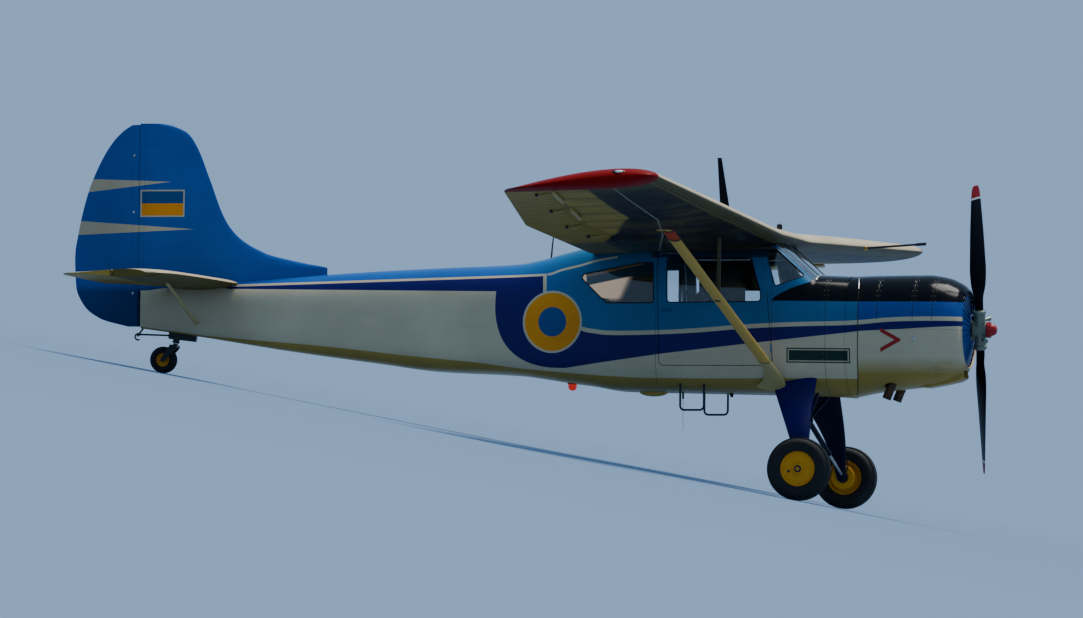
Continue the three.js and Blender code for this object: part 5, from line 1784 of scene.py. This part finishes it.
def make_fin():
    lead, thick = table_curves(FIN_ROWS)
    spans = [np.linspace(2.03, 2.235, 3), np.linspace(2.245, 2.7, 26), crowded(2.72, 3.6238, 34)]
    rings = []
    for z in np.concatenate(spans):
        section = fixed_section(float(lead(z)) - RUDDER_X, float(thick(z)), TAIL_NOSE, TAIL_GAP)
        rings.append([(RUDDER_X + a, b, z) for a, b in section])
    piece("fin_skin", loft(rings), "airframe", TAIL_BLUE, ["fin"], 45)


def make_rudder():
    (rear,) = table_curves(RUDDER_ROWS)
    heights = [r[0] for r in RUDDER_ROWS]
    middle = 2.361
    places = np.concatenate([crowded(middle, heights[0], 26)[::-1][:-1], crowded(middle, heights[-1], 34)])
    rings = []
    for z in places:
        section = moving_section(TAIL_NOSE, RUDDER_X - float(rear(z)) - 0.002, 0.004)
        rings.append([(RUDDER_X + a, b, z) for a, b in section])
    piece("rudder_skin", loft(rings), "rudder_blade", TAIL_BLUE, ["rudder"], 45)
    fittings = []
    for z in (2.00, 2.777, 3.32):
        for y in (0.036, -0.036):
            fittings.append(ball((RUDDER_X - 0.030, y, z), (0.012, 0.008, 0.014), 6, 12))
    piece("rudder_hinges", merged(*fittings), "rudder_blade", STEEL)


def make_tailplanes():
    lead, rear, thick = table_curves(TAILPLANE_ROWS)
    hinge_x, hinge_z = ELEVATOR
    places = np.concatenate([np.linspace(0.058, 1.6, 20), crowded(1.62, 2.0595, 26)])
    fixed, moving = [], []
    for y in places:
        section = fixed_section(float(lead(y)) - hinge_x, float(thick(y)), ELEVATOR_NOSE, TAIL_GAP)
        fixed.append([(hinge_x + a, y, hinge_z + b) for a, b in section])
        section = moving_section(ELEVATOR_NOSE, hinge_x - float(rear(y)), 0.004)
        moving.append([(hinge_x + a, y, hinge_z + b) for a, b in section])
    pair("tailplane", carved(loft(fixed)), TAIL_CREAM, replaces=["stabilizer_{}"], angle=45)
    clear_of_rudder = [(-6.300, -0.05), (-6.300, 0.118), (-6.430, 0.118), (-7.100, 0.245), (-7.100, -0.05)]
    notch = loft([[(x, y, z) for x, y in clear_of_rudder] for z in (1.5, 2.7)])
    elevator = carved(loft(moving), ("DIFFERENCE", notch))
    pair("elevator_skin", elevator, TAIL_RIBBED, "{}_elevator", ["elevator_{}"], 45)
    rings = []
    for t in np.linspace(0, 1, 16):
        at = between((-6.040, 0.115, 1.690), (-6.090, 1.180, 2.060), t)
        rings.append(fairing_ring(at, 0.036, 0.024, 24))
    pair("tailplane_strut", loft(rings), CUFF_PAINT, None, ["stabilizer_strut_{}"], 50)


make_fin()
make_rudder()
make_tailplanes()


# Landing gear
LEG_ROWS = [
    # height, front, rear, y, half thickness
    (1.240, 0.074, -0.398, 0.467, 0.036),
    (1.185, 0.074, -0.374, 0.500, 0.034),
    (0.560, 0.076, -0.096, 0.880, 0.030),
    (0.262, 0.072, -0.008, 0.905, 0.026),
]


def make_legs():
    front, rear, out, thick = table_curves(LEG_ROWS)
    rings = []
    for z in np.linspace(1.235, 0.262, 40):
        a, b, y, t = (float(c(z)) for c in (front, rear, out, thick))
        ring = []
        for turn in turns(36):
            bulge = math.sin(turn) * (1 + 0.25 * math.cos(turn))
            ring.append(((a + b) / 2 + (a - b) / 2 * math.cos(turn), y + t * bulge, z))
        rings.append(ring)
    hull = loft([BODY.ring(x, -0.0006, 96) for x in np.linspace(0.33, -0.8, 20)])
    leg = carved(loft(rings), ("DIFFERENCE", hull))
    axle = bar((WHEEL_X, 0.905, WHEEL_R), (WHEEL_X, WHEEL_Y + 0.060, WHEEL_R), 0.024, 24)
    pair("gear_leg_fairing", leg, GEAR_PAINT, replaces=["gear_leg_{}"], angle=40)
    pair("stub_axle", axle, TRUSS_PAINT, angle=40)
    plate = [(0.955, 0.0), (0.955, 0.106), (0.961, 0.112), (0.994, 0.112), (0.999, 0.106), (0.999, 0.0)]
    pair("brake_plate", lathe(plate, (WHEEL_X, 0, WHEEL_R), "y", 48), HUB_PAINT, angle=40)
    collar = [(0.930, 0.0), (0.930, 0.050), (0.954, 0.056), (0.954, 0.0)]
    line = bent([(0.055, 0.925, 0.52), (0.085, 0.935, 0.44), (0.080, 0.950, 0.38), (0.065, 0.950, 0.34)])
    parts = [lathe(collar, (WHEEL_X, 0, WHEEL_R), "y", 40), tube(line, 0.005, 8)]
    pair("brake_collar", merged(*parts), DARK_METAL, angle=40)


APEX = (-0.110, 0.0, 0.800)
SHOCK_END = (0.040, 0.905, 0.310)


def make_truss():
    frame_bars, rods, sleeves = [ball(APEX, (0.05, 0.05, 0.04), 8, 20)], [], []
    for s in (1, -1):
        end = (SHOCK_END[0], s * SHOCK_END[1], SHOCK_END[2])
        rods.append(bar(between(APEX, end, 0.58), between(APEX, end, 0.985), 0.013, 20))
        sleeves.append(bar(between(APEX, end, 0.02), between(APEX, end, 0.60), 0.026, 24))
        sleeves.append(bar(between(APEX, end, 0.57), between(APEX, end, 0.605), 0.030, 24))
        for foot in ((0.060, s * 0.330, 1.085), (-0.330, s * 0.330, 1.095)):
            frame_bars.append(bar(APEX, foot, 0.019, 16))
    piece("gear_pyramid", merged(*frame_bars), "airframe", TRUSS_PAINT, ["gear_truss"], 40)
    piece("shock_sleeves", merged(*sleeves), "airframe", TRUSS_PAINT, (), 40)
    piece("shock_rods", merged(*rods), "airframe", STEEL, (), 40)


def tyre(radius, width, hub):
    """A tyre's profile, with grooves round its tread."""
    deep = (radius - hub) / 2
    middle = hub + deep
    side = []
    for t in np.linspace(0, math.pi / 2, 9):
        side.append((width / 2 * math.cos(t) ** 0.75, middle + (deep - 0.004) * math.sin(t) ** 1.15))
    tread = []
    half = width * 0.24
    grooves = 4
    for k in range(grooves):
        at = half - (k + 0.5) * 2 * half / grooves
        tread += [(at + 0.006, radius), (at + 0.004, radius - 0.007)]
        tread += [(at - 0.004, radius - 0.007), (at - 0.006, radius)]
    shoulder = [(half + 0.010, radius - 0.001)]
    right = [p for p in side if p[0] > half + 0.012]
    top = right + shoulder + tread + [(-a, r) for a, r in shoulder] + [(-a, r) for a, r in right[::-1]]
    low = [(-width * 0.46, middle - deep * 0.5), (-width * 0.38, hub + 0.0004)]
    low += [(-a, r) for a, r in low[::-1]]
    profile = top + low
    return profile + [profile[0]]


def make_wheels():
    centre = (WHEEL_X, WHEEL_Y, WHEEL_R)
    part = lathe(tyre(WHEEL_R - 0.0005, 0.185, 0.165), centre, "y", 120)
    pair("main_tyre", part, RUBBER, "{}_wheel", ["tyre_{}"], 30)
    rim_profile = [
        (0.075, 0.163), (0.070, 0.1645), (0.064, 0.156), (0.056, 0.150), (0.050, 0.146), (0.047, 0.100),
        (0.049, 0.062), (0.058, 0.056), (0.066, 0.046), (0.066, 0.0275), (-0.066, 0.0275), (-0.066, 0.060),
        (-0.030, 0.075), (-0.030, 0.130), (-0.066, 0.150), (-0.075, 0.163), (0.075, 0.163),
    ]
    disc = lathe(rim_profile, centre, "y", 96)
    pair("wheel_rim", disc, HUB_PAINT, "{}_wheel", ["wheel_{}"], 30)
    dark, bright = [], []
    # The valve's hole
    x, z = WHEEL_X - 0.089, WHEEL_R - 0.022
    dark.append(bar((x, WHEEL_Y + 0.040, z), (x, WHEEL_Y + 0.0495, z), 0.014, 20))
    ring = [(0.060, 0.020), (0.060, 0.036), (0.069, 0.034), (0.072, 0.020), (0.060, 0.020)]
    dark.append(lathe(ring, centre, "y", 40))
    for across, up in around(12, 0.133):
        x, z = WHEEL_X + across, WHEEL_R + up
        bright.append(bar((x, WHEEL_Y + 0.040, z), (x, WHEEL_Y + 0.053, z), 0.006, 6))
    cap = [(0.060, 0.0), (0.060, 0.020), (0.078, 0.018), (0.084, 0.012), (0.085, 0.0)]
    bright.append(lathe(cap, centre, "y", 40))
    pair("wheel_holes", merged(*dark), DARK_METAL, "{}_wheel")
    pair("wheel_bolts", merged(*bright), BOLT_PAINT, "{}_wheel")


TAIL_AXLE = levelled(JOINTS["tail_wheel_spin"]["pos_m"])
TAIL_R, TAIL_WIDTH, TAIL_HUB = 0.1275, 0.104, 0.066
SWIVEL_AHEAD = 0.085
UPRIGHT = Matrix.Translation(Vector(TAIL_AXLE)) @ Matrix.Rotation(PITCH, 4, "Y")


def make_tail_wheel():
    part = turned(lathe(tyre(TAIL_R - 0.0004, TAIL_WIDTH, TAIL_HUB), (0, 0, 0), "y", 72), UPRIGHT)
    piece("tail_tyre_tread", part, "tail_roller", RUBBER, ["tail_tyre"], 30)
    hub = [(0.034, 0.0125), (0.034, 0.030), (0.022, 0.036), (0.022, 0.056), (0.034, 0.0655)]
    hub += [(-a, r) for a, r in hub[::-1]]
    part = turned(lathe([*hub, hub[0]], (0, 0, 0), "y", 48), UPRIGHT)
    piece("tail_hub", part, "tail_roller", HUB_PAINT, ["tail_wheel"], 30)
    parts = [bar((0, -0.072, 0), (0, 0.072, 0), 0.011, 20)]
    arm = rounded([(-0.020, -0.018), (0.022, -0.018), (0.116, 0.138), (0.116, 0.160), (0.050, 0.160)], 0.014)
    for s in (1, -1):
        parts.append(bar((0, s * 0.0705, 0), (0, s * 0.079, 0), 0.017, 6))
        parts.append(prism(arm, s * 0.066 - 0.0045, s * 0.066 + 0.0045))
    parts.append(slab(0.054, 0.114, -0.066, 0.066, 0.141, 0.159, 0.008))
    neck = [(0.146, 0.0), (0.146, 0.030), (0.158, 0.030), (0.163, 0.024), (0.175, 0.024), (0.175, 0.0)]
    parts.append(lathe(neck, (SWIVEL_AHEAD, 0, 0), "z", 32))
    fork = turned(merged(*parts), UPRIGHT)
    piece("tail_fork_arms", fork, "tail_fork", DARK_METAL, ["tail_wheel_fork"], 35)
    top = UPRIGHT @ Vector((SWIVEL_AHEAD, 0, 0.177))
    lift = UPRIGHT @ Vector((SWIVEL_AHEAD, 0, 0.237))
    parts = [bar(tuple(top), tuple(lift), 0.032, 28)]
    parts.append(bar(tuple(top.lerp(lift, 0.12)), tuple(top.lerp(lift, 0.3)), 0.037, 28))
    corners = [(-0.070, 0.044), (0.200, 0.012), (0.210, 0.080), (-0.060, 0.120)]
    plate = rounded([(top.x + a, top.z + b) for a, b in corners], 0.012)
    parts.append(prism(plate, -0.026, 0.026))
    rod = bent([(top.x - 0.040, 0, top.z + 0.075), (-6.637, 0, 1.607), (-6.664, 0, 1.595)])
    parts.append(tube(rod, 0.009, 10))
    parts.append(bar((-6.664, 0, 1.589), (-6.600, 0, 1.672), 0.009, 10))
    hook = [(-6.655 + 0.03 * math.cos(a), 0, 1.585 + 0.03 * math.sin(a)) for a in np.linspace(0.4, 5.2, 14)]
    parts.append(tube(hook, 0.008, 10))
    piece("tail_bracket", merged(*parts), "airframe", DARK_METAL, ["tail_wheel_bracket"], 35)


make_legs()
make_truss()
make_wheels()
make_tail_wheel()


# Small fittings
STEP = {"front": -1.003, "rear": -1.231, "y": 0.545, "z": 0.872, "top": 1.150}


def make_steps():
    x0, x1, y, z, top = STEP["front"], STEP["rear"], STEP["y"], STEP["z"], STEP["top"]
    turn = 0.100
    corners = [(x0, y, top), (x0, y, z + turn), (x0, y, z), (x0 - turn, y, z)]
    corners += [(x1 + turn, y, z), (x1, y, z), (x1, y, z + turn), (x1, y, top)]
    part = tube(bent(corners, 10), 0.010, 14)
    pair("step_frame", part, STEP_PAINT, replaces=["entry_step_{}"], angle=50)


def make_pitot():
    y = 3.300
    line = [(0.357, y, 2.649), (0.342, y, 2.648), (0.10, y, 2.631), (-0.292, y, 2.605)]
    parts = [tube(line, 0.011, 16), bar((0.357, y, 2.649), (0.26, y, 2.642), 0.015, 16)]
    piece("pitot_tube", merged(*parts), "airframe", DARK_METAL, ["pitot_boom"], 40)
    mount = bar((-0.222, y, 2.609), (-0.292, y, 2.603), 0.020, 16, 0.026)
    piece("pitot_mount", mount, "airframe", STRUT_PAINT, (), 40)


def make_antennas():
    """A blade mast, a whip and a round aerial on top, as the photo shows."""
    rings = []
    for t in np.linspace(0, 1, 12):
        x = -0.912 - 0.080 * t
        chord = 0.113 - 0.072 * t
        z = 2.600 + 0.683 * t
        rings.append(oval((x, 0, z), (chord / 2, 0, 0), (0, 0.012 - 0.006 * t, 0)))
    piece("mast_aerial", loft(rings), "airframe", MAST_PAINT, (), 50)
    whip = [tube([(-2.617, 0, 2.300), (-2.606, 0, 2.44), (-2.591, 0, 2.575)], 0.009, 10, 0.006)]
    whip.append(lathe([(2.300, 0.0), (2.300, 0.022), (2.322, 0.014), (2.330, 0.0)], (-2.617, 0, 0), "z", 24))
    piece("whip_aerial", merged(*whip), "airframe", DARK_METAL, (), 40)
    knob = [(2.540, 0.0), (2.540, 0.020), (2.598, 0.022), (2.612, 0.027), (2.648, 0.026), (2.660, 0.0)]
    part = lathe(knob, (-0.406, 0.0, 0), "z", 32)
    piece("round_aerial", part, "airframe", DARK_METAL, (), 40)


def make_belly():
    """A red beacon, a domed fairing and two aerials under the cabin."""
    middle = (-2.395, 0, BODY.low(-2.395))
    base = [(-0.006, 0.0), (-0.006, 0.046), (0.02, 0.050), (0.02, 0.0)]
    piece("beacon_base", lathe(base, middle, "z", 32), "airframe", DARK_METAL, (), 40)
    lens = [(-0.068, 0.0), (-0.066, 0.018), (-0.056, 0.034), (-0.036, 0.041), (-0.006, 0.042), (-0.006, 0.0)]
    f = Finish("beacon_red", Roughness=0.15, Emission_Color=(1.0, 0.03, 0.01, 1), Emission_Strength=0.35)
    ribs = f.z.every(0.008, 0.002, 0.001)
    f.paint(f.mix(ribs * 0.5, (0.75, 0.03, 0.015), (0.35, 0.01, 0.008)))
    f.bump(ribs * 0.0006)
    piece("beacon_lens", lathe(lens, middle, "z", 32), "airframe", f.material, (), 40)
    rings = []
    for t in np.linspace(-1, 1, 17):
        reach = max(0.05, math.sqrt(max(0.0, 1 - t * t)))
        at = -1.608 + 0.142 * t
        rings.append(oval((at, 0, BODY.low(at) + 0.004), (0, 0.075 * reach, 0), (0, 0, 0.048 * reach)))
    piece("belly_fairing", loft(rings), "airframe", STRUT_PAINT, (), 50)
    fin = [(-0.885, 1.066), (-0.830, 1.066), (-0.838, 1.014), (-0.858, 1.014)]
    parts = [prism(fin, -0.005, 0.005), bar((-1.322, 0, 1.066), (-1.321, 0, 0.999), 0.010, 12)]
    parts.append(bar((-1.321, 0, 1.0), (-1.318, 0, 0.706), 0.0025, 8, 0.0015))
    piece("belly_aerials", merged(*parts), "airframe", DARK_METAL, (), 40)


HINGE_SLOPE = (DOOR[2][0] - DOOR[1][0]) / (DOOR[2][1] - DOOR[1][1])


def make_door_fittings():
    """Handle and two hinges on each door."""
    for side, s in SIDES.items():
        parts = []
        for z in (1.45, 2.20):
            x = DOOR[1][0] + (z - DOOR[1][1]) * HINGE_SLOPE
            y = s * (BODY.half_width(x, z) + 0.004)
            parts.append(bar((x + 0.003, y, z - 0.035), (x, y, z + 0.035), 0.007, 12))
        x, z = -1.385, 1.800
        y = BODY.half_width(x, z)
        handle = [(x, s * (y + 0.002), z), (x, s * (y + 0.030), z), (x + 0.11, s * (y + 0.032), z + 0.004)]
        parts.append(tube(bent(handle, 5), 0.007, 12))
        parts.append(ball((x, s * (y + 0.002), z), (0.022, 0.006, 0.022), 6, 20))
        piece(f"door_handle_{side}", merged(*parts), f"{side}_door", HANDLE_BLUE)


make_steps()
make_pitot()
make_antennas()
make_belly()
make_door_fittings()


# Cabin interior
FLOOR_Z = 1.200
SEAT = {"x": -0.860, "y": 0.300, "lean": math.radians(-79.5)}
BENCH_LEAN = math.radians(-79)
PAD_POWERS = (5.0, 3.0)  # how square a cushion's section is, along and across
PUFF_CAP = 0.014
# x and height of each rail's two ends, x from the seat's middle, and its radius
SEAT_RAILS = [
    (0.17, 1.208, 0.12, 1.372, 0.011), (-0.17, 1.208, -0.12, 1.372, 0.011),
    (-0.20, 1.208, 0.20, 1.208, 0.010), (-0.20, 1.372, 0.20, 1.372, 0.010),
    (-0.20, 1.372, -0.335, 2.00, 0.011),
]
# Both ends of each tube of the cabin's frame, on the left
CABIN_TUBES = [
    ((-0.02, 0.49, 2.02), (-0.36, 0.40, 2.42)),
    ((-0.36, 0.575, 2.40), (-1.44, 0.585, 2.40)),
    ((-1.49, 0.60, 1.24), (-1.49, 0.60, 2.38)),
]
PANEL = {"x": -0.060, "thick": 0.040, "bottom": 1.640, "top": 2.075}


def pad_form(size):
    """A crowned pillow in a box of that size, centred at the origin, its corners drawn in."""
    rings = []
    for t in np.linspace(-1, 1, 21):
        squeeze = max(0.04, (1 - abs(t) ** 4) ** 0.5)
        ring = []
        for a in turns(40):
            c, s = math.cos(a), math.sin(a)
            x = math.copysign(abs(c) ** (2 / PAD_POWERS[0]), c) * size[0] / 2
            z = math.copysign(abs(s) ** (2 / PAD_POWERS[1]), s) * size[2] / 2
            waist = 1 - 0.036 * abs(c) ** 2
            ring.append((x * (0.93 + 0.07 * squeeze), t * size[1] / 2, z * squeeze * waist))
        rings.append(ring)
    return loft(rings)


def puffed(name, part):
    """A cushion swollen by cloth pressure inside a cap on how far it may move."""
    target = mesh_object(name, part)
    remesh = target.modifiers.new("even", "REMESH")
    remesh.mode = "VOXEL"
    remesh.voxel_size = 0.016
    baked(target)
    start = corners_of(target)
    swell = target.modifiers.new("swell", "CLOTH")
    swell.settings.use_pressure = True
    swell.settings.uniform_pressure_force = 4
    swell.settings.effector_weights.gravity = 0
    scene = bpy.context.scene
    for step in range(1, 16):
        scene.frame_set(step)
    baked(target)
    scene.frame_set(1)
    move = corners_of(target) - start
    length = np.linalg.norm(move, axis=1)[:, None]
    move *= np.minimum(1, PUFF_CAP / np.maximum(length, 1e-9))
    target.data.vertices.foreach_set("co", (start + move).ravel())
    soft = target.modifiers.new("soft", "SUBSURF")
    soft.levels = 1
    soft.render_levels = 1
    baked(target)
    return target


def make_pad(name, size, place, lean, stands_for=()):
    """One cushion of a seat."""
    form = turned(pad_form(size), Matrix.Translation(place) @ Matrix.Rotation(lean, 4, "Y"))
    pad = finished(puffed(name, form), "airframe", SEAT_CLOTH, stands_for, 60)


def make_seats():
    x = SEAT["x"]
    for side, s in SIDES.items():
        y = s * SEAT["y"]
        stands_for = ["front_seats"] if side == "left" else []
        make_pad(f"seat_cushion_{side}", (0.455, 0.405, 0.100), (x, y, 1.425), 0.0, stands_for)
        make_pad(f"seat_back_{side}", (0.560, 0.400, 0.070), (x - 0.262, y, 1.735), SEAT["lean"])
        rails = []
        for out in (y - 0.17, y + 0.17):
            for x0, z0, x1, z1, radius in SEAT_RAILS:
                rails.append(bar((x + x0, out, z0), (x + x1, out, z1), radius, 12))
        piece(f"seat_frame_{side}", merged(*rails), "airframe", DARK_METAL)
    make_pad("bench_cushion", (0.450, 1.000, 0.105), (-1.895, 0, 1.435), 0.0, ["rear_bench"])
    make_pad("bench_back", (0.560, 0.980, 0.080), (-2.185, 0, 1.705), BENCH_LEAN)
    base = slab(-2.04, -1.72, -0.42, 0.42, 1.2005, 1.380, 0.02)
    piece("bench_base", base, "airframe", LINING)


def sheet(x0, x1, steps, inset, low, high):
    """A blind that hangs inside the left skin, its top kept under the roof."""
    rows = []
    for x in np.linspace(x0, x1, steps):
        y = BODY.half_width(x, 2.0, SKIN + inset)
        top = min(high, BODY.high(x) - 0.09)
        rows.append([(x, y, low), (x, y, top), (x, y - 0.004, top), (x, y - 0.004, low)])
    return loft(rows)


def make_interior():
    floor = []
    for x in np.linspace(0.30, -2.38, 40):
        half = BODY.half_width(x, FLOOR_Z, SKIN + 0.002)
        low = FLOOR_Z - 0.012
        floor.append([(x, -half, low), (x, half, low), (x, half, FLOOR_Z), (x, -half, FLOOR_Z)])
    piece("floor_boards", loft(floor), "airframe", LINING)
    bulkhead = mesh_object("rear_bulkhead", loft([BODY.ring(x, SKIN + 0.001, 96) for x in (-2.385, -2.398)]))
    finished(bulkhead, "airframe", BLIND_CLOTH)
    lining = []
    for x in np.linspace(-0.36, -2.35, 40):
        ring = BODY.ring(x, SKIN + 0.002, 168)
        ring = ring[72:97][::-1]
        lining.append(np.concatenate([ring, ring[::-1] - (0, 0, 0.006)]))
    piece("headlining", loft(lining), "airframe", LINING)
    blind_cloth = sheet(-2.37, -1.63, 24, 0.020, 1.84, 2.35)
    piece("rear_blind", blind_cloth, "airframe", BLIND_CLOTH)
    parts = [sheet(-1.31, -0.86, 12, 0.008, 1.85, 2.315)]
    parts.append(sheet(-0.862, -0.70, 6, 0.008, 2.055, 2.315))
    parts.append(sheet(-0.862, -0.70, 6, 0.008, 1.85, 1.93))
    piece("door_blind", merged(*parts), "left_door", BLIND_CLOTH)
    tubes = []
    for s in (1, -1):
        for (x0, y0, z0), (x1, y1, z1) in CABIN_TUBES:
            tubes.append(bar((x0, s * y0, z0), (x1, s * y1, z1), 0.016, 14))
    piece("cabin_tubes", merged(*tubes), "airframe", LINING)


def dial_face(name):
    """Dark, slightly mottled instrument faces."""
    f = Finish(name, Roughness=0.35)
    f.paint(f.mix(f.noise(60, 3).over(0.56, 0.05) * 0.6, (0.012, 0.012, 0.013), (0.05, 0.05, 0.048)))
    f.bump(f.noise(180, 2) * 0.0001)
    return f.material


# (x, radius) steps from a dial's front edge
BEZEL = [(-0.007, 0.0), (-0.001, 0.004), (0.002, 0.004), (0.002, -0.003), (-0.005, -0.004), (-0.007, 0.0)]


def make_panel():
    x, thick, bottom, top = PANEL["x"], PANEL["thick"], PANEL["bottom"], PANEL["top"]
    board = mesh_object("panel_board", slab(x, x + thick, -1, 1, bottom, top))
    hull = loft([BODY.ring(a, SKIN + 0.002, 120) for a in (x - 0.1, x, x + thick, x + 0.07)])
    cut(board, ("INTERSECT", hull))
    finished(board, "airframe", PANEL_BLACK, ["instrument_panel"])
    bezels, faces, needles = [], [], []
    for row, z in enumerate((1.975, 1.865, 1.755)):
        for k in range(8 if row < 2 else 6):
            y = (k - (3.5 if row < 2 else 2.5)) * 0.118
            r = 0.044 if row < 2 else 0.036
            bezels.append(lathe([(x + a, r + b) for a, b in BEZEL], (0, y, z), "x", 28))
            disc = [(x - 0.0025, 0.0), (x - 0.0025, r - 0.003), (x + 0.001, r - 0.003), (x + 0.001, 0.0)]
            faces.append(lathe(disc, (0, y, z), "x", 28))
            turn = (row * 2.1 + k * 1.3) % (2 * math.pi)
            tip = (x - 0.0042, y + 0.75 * r * math.sin(turn), z + 0.75 * r * math.cos(turn))
            needles.append(bar((x - 0.0042, y, z), tip, 0.0014, 6, 0.0006))
            for a in turns(12):
                tick = [(x - 0.0035, y + t * r * math.sin(a), z + t * r * math.cos(a)) for t in (0.80, 0.92)]
                needles.append(bar(*tick, 0.0008, 4))
    piece("dial_bezels", merged(*bezels), "airframe", DARK_METAL)
    piece("dial_faces", merged(*faces), "airframe", dial_face("dial_face"))
    f = Finish("needle_white", Roughness=0.4)
    f.paint(f.mix(f.noise(80, 2) * 0.3, (0.75, 0.74, 0.70), (0.5, 0.5, 0.45)))
    piece("dial_needles", merged(*needles), "airframe", f.material)
    yokes = []
    for s in (1, -1):
        y = s * SEAT["y"]
        yokes.append(bar((x + 0.004, y, 1.800), (x - 0.205, y, 1.815), 0.012, 16))
        rimline = []
        for a in np.linspace(math.radians(-145), math.radians(145), 40):
            rimline.append((x - 0.205, y + 0.125 * math.sin(a), 1.815 - 0.125 * math.cos(a)))
        yokes.append(tube(rimline, 0.012, 12))
        yokes.append(bar((x - 0.205, y - 0.122, 1.815), (x - 0.205, y + 0.122, 1.815), 0.010, 12))
        yokes.append(ball((x - 0.207, y, 1.815), (0.016, 0.035, 0.030), 8, 20))
    piece("control_wheels", merged(*yokes), "airframe", PANEL_BLACK, (), 45)


make_seats()
make_interior()
make_panel()

# The firewall keeps its own mesh, in bare steel
firewall = frame["nodes"]["firewall"].data
firewall.materials.clear()
firewall.materials.append(STEEL)
